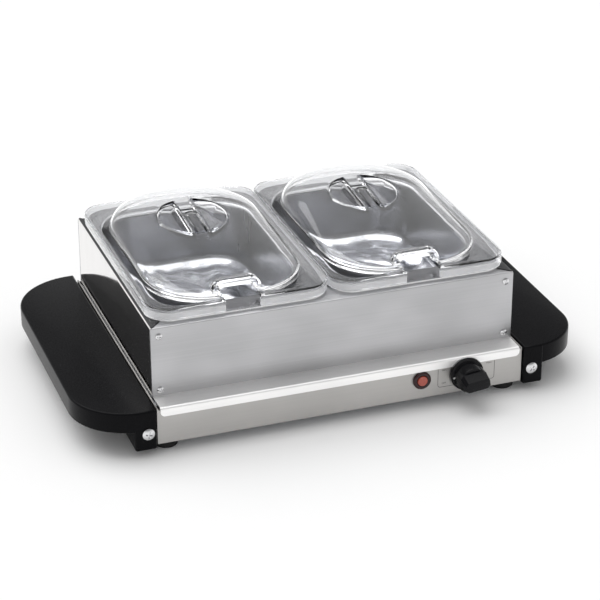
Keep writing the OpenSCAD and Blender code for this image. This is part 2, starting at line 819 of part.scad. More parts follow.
// The cap's plan, drawn in by the given amount
module cap_outline(inset) {
    x0 = cap_in + inset;
    x1 = cap_out - inset;
    y0 = cap_y0 + inset;
    y1 = cap_y1 - inset;
    front_r = cap_front_r - inset;
    back_r = cap_back_r - inset;
    polygon([
        [x0, y0], [x1 - front_r, y0], [x1, y0 + front_r],
        [x1, y1 - back_r], [x1 - back_r, y1], [x0, y1]
    ]);
    intersection() {
        union() {
            translate([x1 - front_r, y0 + front_r]) circle(front_r);
            translate([x1 - back_r, y1 - back_r]) circle(back_r);
        }
        translate([x0, y0]) square([x1 - x0, y1 - y0]);
    }
}

module end_cap() {
    hollow_z = cap_top - cap_lip_h;
    difference() {
        union() {
            difference() {
                translate([0, 0, hollow_z]) linear_extrude(cap_lip_h) cap_outline(0);
                translate([0, 0, hollow_z - cut]) linear_extrude(cap_lip_h - cap_wall + cut)
                    cap_outline(cap_wall);
            }
            for (y = [cap_y0, cap_y1 - leg_d])
                translate([cap_in, y, leg_z]) cube([leg_w, leg_d, cap_top - leg_z - cap_wall / 2]);
        }
        // Room inside the leg blocks for the brackets, open towards the base
        for (y = [cap_y0 + leg_front_wall, cap_y1 - leg_d + cap_wall])
            translate([cap_in - cut, y, leg_z + cap_wall])
                cube([leg_w - cap_wall + cut, leg_d - leg_front_wall - cap_wall,
                    cap_top - leg_z - 2 * cap_wall]);
        for (y = [cap_y0 - cut, cap_y1 - leg_front_wall - cut])
            translate([cap_in + cap_screw_in, y, cap_screw_z]) to_back()
                cylinder(r = cap_screw_r + hole_play, h = leg_front_wall + 2 * cut);
        // The back screws lie in a recess, so the back can stand against a wall
        translate([cap_in + cap_screw_in, cap_y1 - cap_screw_head_h, cap_screw_z]) to_back()
            cylinder(r = cap_screw_head_r + hole_play, h = cap_screw_head_h + cut);
    }
}

module end_cap_right() color("#1c1c1e") {
    end_cap();
}

module end_cap_left() color("#1c1c1e") {
    mirror([1, 0, 0]) end_cap();
}

// Steel angle: a base on the side wall and a tapped tab behind the leg's end wall
module cap_brackets() color("silver") {
    both_sides()
        for (end = [0, 1]) {
            tab_y0 = end == 0 ? cap_y0 + leg_front_wall : cap_y1 - leg_front_wall - bracket_t;
            foot_y0 = end == 0 ? tab_y0 : tab_y0 + bracket_t - bracket_base_d;
            difference() {
                union() {
                    translate([base_w / 2, foot_y0, cap_screw_z - bracket_h / 2])
                        cube([bracket_t, bracket_base_d, bracket_h]);
                    translate([base_w / 2, tab_y0, cap_screw_z - bracket_h / 2])
                        cube([cap_gap + tab_w, bracket_t, bracket_h]);
                }
                translate([cap_in + cap_screw_in, tab_y0 - cut, cap_screw_z]) to_back()
                    cylinder(r = cap_screw_r + thread_play, h = bracket_t + 2 * cut);
            }
        }
}

module cap_screws() color("silver") {
    screw_len = leg_front_wall + bracket_t + 4;
    both_sides() {
        translate([cap_in + cap_screw_in, cap_y0, cap_screw_z]) to_front()
            pan_screw(cap_screw_head_r, cap_screw_head_h, cap_screw_r, screw_len);
        translate([cap_in + cap_screw_in, cap_y1 - cap_screw_head_h, cap_screw_z]) to_back()
            pan_screw(cap_screw_head_r, cap_screw_head_h, cap_screw_r, screw_len - cap_screw_head_h);
    }
}

// ---- Frame ---------------------------------------------------------------

frame_screw_x = [-frame_w / 2 + frame_screw_in, frame_w / 2 - frame_screw_in];
frame_screw_z = [plate_top + frame_screw_up, frame_top - frame_screw_down];

// A front or back panel whose outer face is on y = 0 and whose inside is towards +Y
module end_panel(flange_d) {
    mitre = side_out - side_flange_in;
    difference() {
        union() {
            translate([-frame_w / 2, 0, plate_top]) cube([frame_w, frame_sheet, frame_h]);
            both_sides()
                translate([side_out, 0, plate_top]) cube([frame_sheet, wrap_d, frame_h]);
            translate([0, 0, frame_top - frame_sheet]) linear_extrude(frame_sheet)
                polygon([
                    [-frame_w / 2, 0], [frame_w / 2, 0], [frame_w / 2, frame_sheet],
                    [side_out, frame_sheet], [side_flange_in, mitre], [side_flange_in, flange_d],
                    [-side_flange_in, flange_d], [-side_flange_in, mitre], [-side_out, frame_sheet],
                    [-frame_w / 2, frame_sheet]
                ]);
            translate([-side_out + 2 * return_w, 0, plate_top])
                cube([2 * (side_out - 2 * return_w), frame_foot_w, frame_sheet]);
        }
        for (x = frame_screw_x, z = frame_screw_z)
            translate([x, -cut, z]) to_back()
                cylinder(r = frame_screw_r + hole_play, h = frame_sheet + 2 * cut);
    }
}

module frame_front() color("silver") {
    translate([0, frame_y0, 0]) end_panel(open_y0 - frame_y0);
}

module frame_back() color("silver") {
    translate([0, frame_y1, 0]) mirror([0, 1, 0]) end_panel(frame_y1 - open_y1);
}

module frame_side() {
    y0 = frame_y0 + frame_sheet;
    y1 = frame_y1 - frame_sheet;
    mitre = side_out - side_flange_in;
    difference() {
        union() {
            translate([side_out - frame_sheet, y0, plate_top])
                cube([frame_sheet, y1 - y0, frame_h - frame_sheet]);
            translate([side_out - frame_foot_w, y0, plate_top]) cube([frame_foot_w, y1 - y0, frame_sheet]);
            for (y = [y0, y1 - frame_sheet])
                translate([side_out - return_w, y, plate_top])
                    cube([return_w, frame_sheet, frame_h - frame_sheet]);
            translate([0, 0, frame_top - frame_sheet]) linear_extrude(frame_sheet)
                polygon([
                    [side_out, y0], [side_out, y1],
                    [side_flange_in, frame_y1 - mitre], [side_flange_in, frame_y0 + mitre]
                ]);
        }
        for (y = [y0 - cut, y1 - frame_sheet - cut], z = frame_screw_z)
            translate([frame_screw_x[1], y, z]) to_back()
                cylinder(r = frame_screw_r + thread_play, h = frame_sheet + 2 * cut);
    }
}

module frame_side_right() color("#8a8a8c") {
    frame_side();
}

module frame_side_left() color("#8a8a8c") {
    mirror([1, 0, 0]) frame_side();
}

module frame_divider() color("dimgray") {
    tab_d = 8;
    channel_t = frame_sheet;
    translate([-divider_half, open_y0, frame_top - frame_sheet])
        cube([2 * divider_half, open_y1 - open_y0, channel_t]);
    for (x = [-divider_half, divider_half - channel_t])
        translate([x, open_y0 - tab_d, frame_top - divider_h])
            cube([channel_t, open_y1 - open_y0 + 2 * tab_d, divider_h - frame_sheet]);
    for (y = [open_y0 - tab_d, open_y1 - channel_t])
        translate([-divider_half, y, frame_top - 2 * frame_sheet])
            cube([2 * divider_half, tab_d + channel_t, channel_t]);
}

module frame_screws() color("silver") {
    for (x = frame_screw_x, z = frame_screw_z) {
        translate([x, frame_y0, z]) to_front()
            pan_screw(frame_screw_head_r, frame_screw_head_h, frame_screw_r, frame_screw_len);
        translate([x, frame_y1, z]) to_back()
            pan_screw(frame_screw_head_r, frame_screw_head_h, frame_screw_r, frame_screw_len);
    }
}

// ---- Pans ----------------------------------------------------------------

module pan() {
    bowl_z = rim_top - pan_h;
    t = pan_sheet;
    difference() {
        union() {
            translate([0, 0, frame_top]) linear_extrude(rim_h)
                tray_outline(rim_w / 2, rim_d / 2, rim_d / 2, rim_r, rim_r);
            translate([0, 0, bowl_z]) linear_extrude(pan_h - t)
                tray_outline(bowl_w / 2 + t, bowl_front + t, bowl_back + t, bowl_front_r + t,
                    bowl_back_r + t);
        }
        translate([0, 0, bowl_z + t]) linear_extrude(pan_h)
            tray_outline(bowl_w / 2, bowl_front, bowl_back, bowl_front_r, bowl_back_r);
        // Hollow under the flange, inside the turned-down rim
        translate([0, 0, frame_top - cut]) linear_extrude(rim_h - t + cut) difference() {
            tray_outline(rim_w / 2 - t, rim_d / 2 - t, rim_d / 2 - t, rim_r - t, rim_r - t);
            tray_outline(bowl_w / 2 + t, bowl_front + t, bowl_back + t, bowl_front_r + t, bowl_back_r + t);
        }
    }
}

module pan_left() color("gainsboro") {
    translate([-pan_pitch / 2, pan_y, 0]) pan();
}

module pan_right() color("gainsboro") {
    translate([pan_pitch / 2, pan_y, 0]) pan();
}

// ---- Lids ----------------------------------------------------------------

edge_power = 2.7;
edge_root = 2.3;
corner_steps = 10;
dome_rings = 8;

// Corners of the dome's plan, anticlockwise from the back right: middle of the arc, radius, first angle
function dome_corners(shrink) = [
    [[dome_half_w - dome_back_r, dome_back - dome_back_r], dome_back_r - shrink, 0],
    [[-dome_half_w + dome_back_r, dome_back - dome_back_r], dome_back_r - shrink, 90],
    [[-dome_half_w + dome_front_r, -dome_front + dome_front_r], dome_front_r - shrink, 180],
    [[dome_half_w - dome_front_r, -dome_front + dome_front_r], dome_front_r - shrink, 270]
];

// Closed dome above z = 0 with a straight foot of the given depth below it
module dome_solid(shrink, foot) {
    plan = [for (c = dome_corners(shrink), k = [0 : corner_steps])
        let (a = c[2] + 90 * k / corner_steps) c[0] + c[1] * [cos(a), sin(a)]];
    n = len(plan);
    rings = [for (k = [1 : dome_rings]) 1 - pow(1 - k / dome_rings, 2.2)];
    height = dome_h - shrink;
    slope = height * dome_tilt / dome_back;
    points = concat(
        [[0, 0, height]],
        [for (rho = rings, p = plan)
            [rho * p[0], rho * p[1],
             (height + slope * rho * p[1]) * pow(max(0, 1 - pow(rho, edge_power)), 1 / edge_root)]],
        [for (p = plan) [p[0], p[1], -foot]]
    );
    faces = concat(
        [for (j = [0 : n - 1]) [0, 1 + (j + 1) % n, 1 + j]],
        [for (k = [0 : dome_rings - 1], j = [0 : n - 1])
            let (a = 1 + k * n + j, b = 1 + k * n + (j + 1) % n) [a, b, b + n]],
        [for (k = [0 : dome_rings - 1], j = [0 : n - 1])
            let (a = 1 + k * n + j, b = 1 + k * n + (j + 1) % n) [a, b + n, a + n]],
        [[for (j = [0 : n - 1]) 1 + dome_rings * n + j]]
    );
    polyhedron(points, faces, convexity = 4);
}

// Slope of the dome's middle line
grip_slope = atan(dome_h * dome_tilt / dome_back);
// Height of the dome's surface over the middle of the finger recess
grip_z = dome_h * (1 + dome_tilt * grip_back / dome_back);

// The two half-round spaces either side of the grip bar, grown by the given amount.
// Their floor slopes up from the bar to the edge of the recess.
module finger_pockets(grow, depth) {
    reach = grip_r + 10;
    translate([0, grip_back, grip_z]) rotate([grip_slope, 0, 0])
        for (side = [-1, 1])
            intersection() {
                translate([0, 0, -depth]) cylinder(r = grip_r + grow, h = depth + reach);
                translate([side * (grip_bar_w / 2 - grow) - (side < 0 ? reach : 0), -reach, -depth])
                    cube([reach, 2 * reach, depth + reach]);
                translate([side * grip_bar_w / 2, 0, -depth]) rotate([0, -side * grip_floor_slope, 0])
                    translate([-reach, -reach, 0]) cube([2 * reach, 2 * reach, 2 * reach]);
            }
}

// Section of the notch in the X-Z plane, with its top at the height rise
module notch_section(half_w, rise, corner_r, foot) {
    translate([-half_w, -foot]) square([2 * half_w, foot + rise - corner_r]);
    translate([-half_w + corner_r, -foot]) square([2 * (half_w - corner_r), foot + rise]);
    for (side = [-1, 1]) translate([side * (half_w - corner_r), rise - corner_r]) circle(corner_r);
}

module lid() {
    front = lid_d / 2;
    t = lid_wall;
    notch_r = 4;
    leg_bead = 4;
    translate([0, 0, flange_top]) difference() {
        union() {
            // Flange and skirt
            translate([0, 0, -skirt_h]) linear_extrude(skirt_h)
                tray_outline(lid_w / 2, front, front, lid_r, lid_r);
            dome_solid(0, t / 2);
            // Hoop and legs of the bead around the notch
            translate([0, -front + bead_in + bead_d, 0]) to_front() linear_extrude(bead_d)
                notch_section(notch_w / 2 + bead_t, notch_rise + bead_t, notch_r + bead_t, t / 2);
            for (side = [-1, 1])
                translate([side * (notch_w + leg_bead) / 2 - leg_bead / 2, -front, -t / 2])
                    cube([leg_bead, bead_in + 1, t / 2 + 1.6]);
        }
        // Underside
        translate([0, 0, -skirt_h - cut]) linear_extrude(skirt_h - t + cut)
            tray_outline(lid_w / 2 - t, front - t, front - t, lid_r - t, lid_r - t);
        difference() {
            dome_solid(t, t + cut);
            finger_pockets(t, grip_depth + t);
            translate([0, -front + bead_in + bead_d, 0]) to_front() linear_extrude(bead_d)
                notch_section(notch_w / 2 + bead_t, notch_rise + bead_t, notch_r + bead_t, t);
        }
        finger_pockets(0, grip_depth);
        translate([0, -front + bead_in + bead_d + cut, 0]) to_front()
            linear_extrude(bead_in + bead_d + 2 * cut)
            notch_section(notch_w / 2, notch_rise, notch_r, skirt_h + cut);
    }
}

module lid_left() color([0.85, 0.88, 0.92, 0.5]) {
    translate([-pan_pitch / 2, pan_y, 0]) lid();
}

module lid_right() color([0.85, 0.88, 0.92, 0.5]) {
    translate([pan_pitch / 2, pan_y, 0]) lid();
}

base_housing();
bottom_plate();
bottom_screws();
rubber_feet();
foot_screws();
foot_nuts();
plate_rails();
warming_plate();
plate_studs();
heating_element();
element_straps();
heat_shield();
stud_nuts();
thermal_fuse();
fuse_clip();
thermostat();
thermostat_nut();
lamp_bezel();
lamp_lens();
neon_lamp();
lamp_clip();
terminal_block();
terminal_screws();
wiring();
cord_gland();
gland_nut();
cap_brackets();
end_cap_left();
end_cap_right();
cap_screws();
frame_front();
frame_back();
frame_side_left();
frame_side_right();
frame_divider();
frame_screws();
pan_left();
pan_right();
lid_left();
lid_right();
thermostat_shaft();
control_knob();
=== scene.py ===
import math

import bmesh
import bpy
from mathutils import Matrix, Vector


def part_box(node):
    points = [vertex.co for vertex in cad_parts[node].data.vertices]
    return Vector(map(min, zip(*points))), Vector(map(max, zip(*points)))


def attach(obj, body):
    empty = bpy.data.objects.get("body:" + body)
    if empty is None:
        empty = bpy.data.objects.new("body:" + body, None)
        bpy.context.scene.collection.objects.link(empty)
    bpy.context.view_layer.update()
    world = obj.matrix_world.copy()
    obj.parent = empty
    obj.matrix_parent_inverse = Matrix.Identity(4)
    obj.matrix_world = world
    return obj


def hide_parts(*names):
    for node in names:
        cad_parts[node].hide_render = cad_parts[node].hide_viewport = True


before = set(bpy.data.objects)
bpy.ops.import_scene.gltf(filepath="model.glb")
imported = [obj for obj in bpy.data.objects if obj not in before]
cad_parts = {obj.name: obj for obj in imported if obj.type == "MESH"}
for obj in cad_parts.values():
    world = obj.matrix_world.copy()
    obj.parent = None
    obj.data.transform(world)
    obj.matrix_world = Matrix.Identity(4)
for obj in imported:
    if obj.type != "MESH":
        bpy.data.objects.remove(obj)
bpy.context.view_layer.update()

# ---------------------------------------------------------------- Camera
# A long lens stands in front of the server, a little to its left and well above
# the worktop, so that the lids, the ledge and the controls all show.
def placed(name, data):
    """An object in the scene that shows the given data."""
    made = bpy.data.objects.new(name, data)
    bpy.context.scene.collection.objects.link(made)
    return made


MM = 0.001
look_at = Vector((10.79, 17.0, 54.47)) * MM
camera_turn = math.radians(-19.78)
camera_height = math.radians(26.07)
camera_distance = 2096 * MM

towards_camera = Vector((
    math.sin(camera_turn) * math.cos(camera_height),
    -math.cos(camera_turn) * math.cos(camera_height),
    math.sin(camera_height),
))
camera_data = bpy.data.cameras.new("camera")
camera_data.lens = 126.39
camera_data.sensor_width = 36.0
camera = placed("camera", camera_data)
camera.location = look_at + towards_camera * camera_distance
camera.rotation_euler = (-towards_camera).to_track_quat("-Z", "Y").to_euler()
bpy.context.scene.camera = camera
bpy.context.scene.view_settings.view_transform = "Standard"


# ---------------------------------------------------------------- Studio
# The server stands on a white paper sweep. One very large soft light hangs above
# and a little behind it, and the white walls of the room fill the shadows.
class Paint:
    """A socket in a node tree: sums and products of paints add Math nodes."""

    def __init__(self, tree, socket=None):
        self.tree = tree
        self.socket = socket

    def node(self, kind, settings=None, sockets=None, out=0):
        """A new node: its settings first, then the values or links of its sockets."""
        made = self.tree.nodes.new(kind)
        for name, value in (settings or {}).items():
            setattr(made, name, value)
        for name, value in (sockets or {}).items():
            several = isinstance(value, tuple) and isinstance(value[0], Paint)
            for each in value if several else (value,):
                if isinstance(each, Paint):
                    self.tree.links.new(each.socket, made.inputs[name])
                else:
                    made.inputs[name].default_value = each
        return Paint(self.tree, made.outputs[out])

    def _math(self, operation, first, second):
        """A Math node on two values or paints."""
        return self.node("ShaderNodeMath", {"operation": operation}, {0: first, 1: second})

    def __add__(self, other):
        return self._math("ADD", self, other)

    __radd__ = __add__

    def __sub__(self, other):
        return self._math("SUBTRACT", self, other)

    def __rsub__(self, other):
        return self._math("SUBTRACT", other, self)

    def __mul__(self, other):
        return self._math("MULTIPLY", self, other)

    __rmul__ = __mul__

    def __truediv__(self, other):
        return self._math("DIVIDE", self, other)

    def __gt__(self, other):
        return self._math("GREATER_THAN", self, other)

    def clamp(self):
        """This value, kept between 0 and 1."""
        return self.node("ShaderNodeClamp", None, {"Value": self})

    def part(self, axis):
        """This vector's X, Y or Z."""
        return self.node("ShaderNodeSeparateXYZ", None, {0: self}, out="XYZ".index(axis))

    def steps(self, low, high, low_value=0.0, high_value=1.0):
        """A smooth step from one value to another, where this value goes from low to high."""
        sockets = {"Value": self, "From Min": low, "From Max": high,
                   "To Min": low_value, "To Max": high_value}
        return self.node("ShaderNodeMapRange", {"interpolation_type": "SMOOTHSTEP"}, sockets)

    def mix(self, first, second):
        """Colour between two colours, by this share of the second."""
        return self.node("ShaderNodeMix", {"data_type": "RGBA"},
                         {0: self, 6: colour(first), 7: colour(second)}, out=2)


def colour(value):
    """What a colour socket takes: a paint to link, or three numbers with their alpha."""
    return value if isinstance(value, Paint) else (*value, 1.0)


def link(paint, shader, name):
    """Feeds a paint to a shader's socket."""
    paint.tree.links.new(paint.socket, shader.inputs[name])


def paper_finish():
    """Matt white paper."""
    material = bpy.data.materials.new("white_paper")
    material.use_nodes = True
    shader = material.node_tree.nodes["Principled BSDF"]
    shader.inputs["Base Color"].default_value = (0.97, 0.97, 0.97, 1.0)
    shader.inputs["Roughness"].default_value = 0.9
    shader.inputs["Specular IOR Level"].default_value = 0.0
    return material


floor_half = 6.0
floor_mesh = bpy.data.meshes.new("floor")
floor_mesh.from_pydata(
    [(-floor_half, -floor_half, 0), (floor_half, -floor_half, 0),
     (floor_half, floor_half, 0), (-floor_half, floor_half, 0)], [], [(0, 1, 2, 3)])
floor = placed("floor", floor_mesh)
floor_mesh.materials.append(paper_finish())

ceiling_light = bpy.data.lights.new("ceiling_light", "SUN")
ceiling_light.energy = 1.5
ceiling_light.angle = math.radians(60)
ceiling_lamp = placed("ceiling_light", ceiling_light)
ceiling_lamp.rotation_euler = (math.radians(-24), math.radians(-14), 0)

# Dull surfaces get one even light from all sides. Bright ones mirror a white wall at
# the horizon, a grey ceiling and a soft box overhead. What is mirrored under the lids
# is a bright sky in place of that ceiling. The view itself is white.
fill_level = 0.62
wall_level = 1.0
ceiling_level = 0.30
soft_box_level = 0.75
lid_sky_level = 1.35
wall_heights = (0.16, 0.42)
soft_box_heights = (0.62, 0.80)
world = bpy.data.worlds.new("studio")
bpy.context.scene.world = world
world.use_nodes = True
background = world.node_tree.nodes["Background"]
air = Paint(world.node_tree)


def bounces_of(kind):
    """How often a ray was mirrored, scattered or let through before it met the sky."""
    return air.node("ShaderNodeLightPath", out=kind)


mirrored = bounces_of("Glossy Depth") > 0.5
bounced = bounces_of("Glossy Depth") + bounces_of("Diffuse Depth") > 0.5
under_lid = bounces_of("Transmission Depth") > 0.5
height = air.node("ShaderNodeTexCoord", out="Generated").part("Z")
walls = height.steps(*wall_heights, wall_level, ceiling_level)
open_air = walls + height.steps(*soft_box_heights, 0.0, soft_box_level)
lid_sky = height.steps(*wall_heights, wall_level, lid_sky_level)
level = open_air + under_lid * (lid_sky - open_air)
grey = level.node("ShaderNodeCombineColor", None, {0: level, 1: level, 2: level})
room = mirrored.mix((fill_level,) * 3, grey)
link(bounced.mix((1, 1, 1), room), background, "Color")
background.inputs["Strength"].default_value = 1.0


# ---------------------------------------------------------------- Base housing
# The base is a box folded from thin stainless sheet and brushed along its width.
# Its side walls stand up flush with the warming plate, as two bright rails.
def new_finish(name, base, metallic=0.0, roughness=0.5):
    """A material with its shader and the paint that adds nodes to it."""
    material = bpy.data.materials.new(name)
    material.use_nodes = True
    shader = material.node_tree.nodes["Principled BSDF"]
    shader.inputs["Base Color"].default_value = (*base, 1.0)
    shader.inputs["Metallic"].default_value = metallic
    shader.inputs["Roughness"].default_value = roughness
    return material, shader, Paint(material.node_tree)


def bumped(paint, height, strength, distance):
    """The normal of a surface that rises and sinks with a height."""
    return paint.node("ShaderNodeBump", None,
                      {"Strength": strength, "Distance": distance, "Height": height})


def stretched_noise(paint, stretch, detail=2.0):
    """Noise whose grain is drawn out by a different amount along each axis."""
    place = paint.node("ShaderNodeTexCoord", out="Object")
    drawn = paint.node("ShaderNodeVectorMath", {"operation": "MULTIPLY"}, {0: place, 1: stretch})
    return paint.node("ShaderNodeTexNoise", None,
                      {"Vector": drawn, "Scale": 1.0, "Detail": detail, "Roughness": 0.6})


def brushed_finish(name, base, stretch, roughness=0.3, grain=0.12):
    """Sheet steel brushed in one direction, with fine lines and faint cloudy patches."""
    material, shader, paint = new_finish(name, base, metallic=1.0, roughness=roughness)
    lines = stretched_noise(paint, stretch, detail=3.0)
    clouds = stretched_noise(paint, (9.0, 9.0, 14.0)).steps(0.3, 0.7)
    tone = (lines * 0.55 + clouds * 0.45).clamp()
    dark = tuple(value * (1.0 - grain) for value in base)
    light = tuple(min(1.0, value * (1.0 + grain)) for value in base)
    link(tone.mix(dark, light), shader, "Base Color")
    link(lines * 0.16 + (roughness - 0.08), shader, "Roughness")
    link(bumped(paint, lines, 0.25, 0.00002), shader, "Normal")
    return material


def dress(node, material):
    """Gives a kept node its finish."""
    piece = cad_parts[node]
    piece.data.materials.clear()
    piece.data.materials.append(material)


brushed_base = brushed_finish("steel_brushed_base", (0.43, 0.42, 0.408), (6.0, 900.0, 900.0), 0.4)
dress("base_housing", brushed_base)


# ---------------------------------------------------------------- Warming plate
# The plate is one stainless sheet whose front edge is bent down over the panel in
# a soft curve. The lip's lower corners are rounded off.
def new_piece(name, points, faces, material, sharp=35.0):
    """A mesh piece in metres, smooth except at edges sharper than the given angle."""
    mesh = bpy.data.meshes.new(name)
    mesh.from_pydata([tuple(point) for point in points], [], faces)
    mesh.materials.append(material)
    mesh.polygons.foreach_set("use_smooth", [True] * len(mesh.polygons))
    mesh.set_sharp_from_angle(angle=math.radians(sharp))
    mesh.update()
    return placed(name, mesh)


def bake_modifiers(piece, sharp=35.0):
    """Turns a piece with its modifiers into a plain mesh."""
    depsgraph = bpy.context.evaluated_depsgraph_get()
    mesh = bpy.data.meshes.new_from_object(piece.evaluated_get(depsgraph))
    piece.modifiers.clear()
    piece.data = mesh
    mesh.polygons.foreach_set("use_smooth", [True] * len(mesh.polygons))
    mesh.set_sharp_from_angle(angle=math.radians(sharp))
    return piece


def thicken(piece, thickness):
    """Gives a sheet its thickness, inwards from the side that its normals leave."""
    modifier = piece.modifiers.new("thickness", "SOLIDIFY")
    modifier.thickness = thickness
    modifier.offset = -1.0
    return bake_modifiers(piece)


def fit(piece, body, slot, *nodes):
    """Fixes a finished piece to its body, in place of the nodes that it stands for."""
    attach(piece, body)
    if nodes:
        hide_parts(*nodes)
    return piece


def strip_faces(rows, columns, close=False):
    """Faces of a sheet of points in rows; close joins the last column to the first."""
    faces = []
    for row in range(rows - 1):
        for column in range(columns if close else columns - 1):
            after = (column + 1) % columns
            faces.append((row * columns + column, row * columns + after,
                          (row + 1) * columns + after, (row + 1) * columns + column))
    return faces


def bend(centre, radius, start, end, steps=6):
    """Points of an arc in a section, from one angle to another in degrees."""
    angles = [math.radians(start + (end - start) * step / steps) for step in range(steps + 1)]
    return [(centre[0] + radius * math.cos(a), centre[1] + radius * math.sin(a)) for a in angles]


# The plate's brushed steel is written about twice as bright as that of the base and panels: painted
# light on the ledge
brushed_plate_painted_light = brushed_finish("steel_brushed_plate_painted_light", (0.90, 0.895, 0.89), (6.0, 900.0, 900.0),
                               0.46, 0.08)
sheet_t = 1.2 * MM
plate_low, plate_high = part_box("warming_plate")
plate_bend = 2.6 * MM
behind_bend = 24 * MM
lip_corner = 4.5 * MM
lip_steps = 8


def plate_section(lip_bottom):
    """Section of the plate from its back edge, over the bend, to the lip's lower edge."""
    front, top = plate_low.y, plate_high.z
    return ([(plate_high.y, top), (front + behind_bend, top)]
            + bend((front + plate_bend, top - plate_bend), plate_bend, 90, 180, 8)
            + [(front, lip_bottom)])


plate_ends = [lip_corner * (1 - math.cos(math.radians(90 * k / lip_steps)))
              for k in range(lip_steps + 1)]
plate_x = ([plate_low.x + step for step in plate_ends]
           + [plate_high.x - step for step in reversed(plate_ends)])
plate_points = []
for x in plate_x:
    from_end = min(x - plate_low.x, plate_high.x - x)
    rise = lip_corner - math.sqrt(max(0.0, lip_corner ** 2 - (lip_corner - from_end) ** 2))
    plate_points += [(x, y, z) for y, z in plate_section(plate_low.z + rise)]
plate_piece = new_piece("warming_plate_pressed", plate_points,
                        strip_faces(len(plate_x), len(plate_section(0))), brushed_plate_painted_light)
fit(thicken(plate_piece, sheet_t), "base", "brushed_steel", "warming_plate")


# ---------------------------------------------------------------- Frame panels
# Four folded sheets make the frame. The front and back ones are brushed and bent
# over at the top; the sides are polished like a mirror below a dark top flange.
frame_t = 1.0 * MM
frame_bend = 1.4 * MM
front_low, front_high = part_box("frame_front")
back_low, back_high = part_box("frame_back")
side_low, side_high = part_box("frame_side_right")
foot_d = 8 * MM
mitre = side_high.x - side_low.x
by_edge = 8 * MM
wrap_d = 2.5 * MM


def end_panel(name, outer_y, inner_y, material, node):
    """A front or back panel: top flange, bend, wall, bend and foot, mitred at the top."""
    inward = 1 if inner_y > outer_y else -1
    top, bottom = front_high.z, front_low.z
    depth = abs(inner_y - outer_y)
    section = [(depth, top), (mitre, top), (frame_bend, top)]
    section += [(y, z) for y, z in bend((frame_bend, top - frame_bend), frame_bend, 90, 180)[1:]]
    section += [(0, top - by_edge), (0, bottom + by_edge)]
    section += bend((frame_bend, bottom + frame_bend), frame_bend, 180, 270)
    section += [(foot_d, bottom)]
    points = []
    for side in (-1, 1):
        for depth_in, z in section:
            reach = front_high.x
            if z > top - frame_bend / 2:
                reach = max(side_low.x, side_high.x - max(0.0, depth_in - frame_t))
            elif depth_in > frame_bend:
                reach = side_low.x - mitre
            points.append((side * reach, outer_y + inward * depth_in, z))
    faces = strip_faces(2, len(section))
    if inward < 0:
        faces = [tuple(reversed(face)) for face in faces]
    piece = thicken(new_piece(name, points, faces, material), frame_t)
    return fit(piece, "frame", "brushed_steel", node)


brushed_panel = brushed_finish("steel_brushed_panel", (0.46, 0.46, 0.47), (5.0, 1100.0, 1100.0),
                               0.38, 0.18)
end_panel("frame_front_folded", front_low.y, front_high.y, brushed_panel, "frame_front")
end_panel("frame_back_folded", back_high.y, back_low.y, brushed_panel, "frame_back")


def polished_finish():
    """Mirror-polished sheet: slightly wavy, so that what it mirrors is softly drawn."""
    material, shader, paint = new_finish("steel_polished", (0.76, 0.75, 0.74), 1.0, 0.07)
    waves = stretched_noise(paint, (14.0, 14.0, 14.0))
    smears = stretched_noise(paint, (40.0, 60.0, 20.0), detail=4.0)
    link(smears.mix((0.70, 0.69, 0.68), (0.80, 0.79, 0.78)), shader, "Base Color")
    link(smears * 0.08 + 0.04, shader, "Roughness")
    link(bumped(paint, waves, 0.12, 0.002), shader, "Normal")
    return material


def dark_flange_finish():
    """A near-black, non-metallic satin finish with a very fine grain."""
    material, shader, paint = new_finish("steel_dark_flange", (0.010, 0.010, 0.012), 0.0, 0.42)
    grain = stretched_noise(paint, (1400.0, 300.0, 1400.0))
    link(grain.mix((0.006, 0.006, 0.007), (0.014, 0.014, 0.016)), shader, "Base Color")
    link(grain * 0.2 + 0.34, shader, "Roughness")
    link(bumped(paint, grain, 0.3, 0.00003), shader, "Normal")
    return material


polished = polished_finish()
dark_flange = dark_flange_finish()


def side_panel(name, side, node):
    """One side: the dark flange, a small bend and the polished wall down to the plate."""
    top, bottom = side_high.z, side_low.z
    outer, inner = side_high.x, side_low.x
    section = [(inner, top), (outer - frame_bend, top)]
    section += bend((outer - frame_bend, top - frame_bend), frame_bend, 90, 0)[1:]
    section += [(outer, bottom)]
    points = []
    for y_end, inward in ((side_low.y, 1), (side_high.y, -1)):
        for x, z in section:
            drawn_in = (outer - x) if z > top - frame_bend / 2 else 0.0
            points.append((side * x, y_end + inward * max(0.0, drawn_in - frame_t), z))
    faces = strip_faces(2, len(section))
    if side > 0:
        faces = [tuple(reversed(face)) for face in faces]
    piece = new_piece(name, points, faces, polished)
    piece.data.materials.append(dark_flange)
    for face in piece.data.polygons:
        if face.center.z > top - 0.3 * frame_bend:
            face.material_index = 1
    return fit(thicken(piece, frame_t), "frame", "polished_steel", node)


side_panel("frame_side_left_folded", -1, "frame_side_left")
side_panel("frame_side_right_folded", 1, "frame_side_right")

# At each corner the front or back panel is wrapped round the side panel's edge
wrap_points = []
wrap_faces = []
box_faces = [(0, 1, 2, 3), (7, 6, 5, 4), (0, 4, 5, 1), (1, 5, 6, 2), (2, 6, 7, 3), (3, 7, 4, 0)]
for side in (-1, 1):
    for y_face, inward in ((front_low.y, 1), (back_high.y, -1)):
        first = len(wrap_points)
        x_out, x_in = side * front_high.x, side * side_high.x
        y_from, y_to = y_face + inward * frame_t, y_face + inward * wrap_d
        for z in (front_low.z, front_high.z - frame_bend):
            wrap_points += [(x_in, y_from, z), (x_out, y_from, z), (x_out, y_to, z), (x_in, y_to, z)]
        order = -1 if side * inward > 0 else 1
        wrap_faces += [tuple(first + corner for corner in face[::order]) for face in box_faces]
fit(new_piece("frame_corner_wraps", wrap_points, wrap_faces, brushed_panel), "frame", "brushed_steel")
dress("frame_divider", dark_flange)


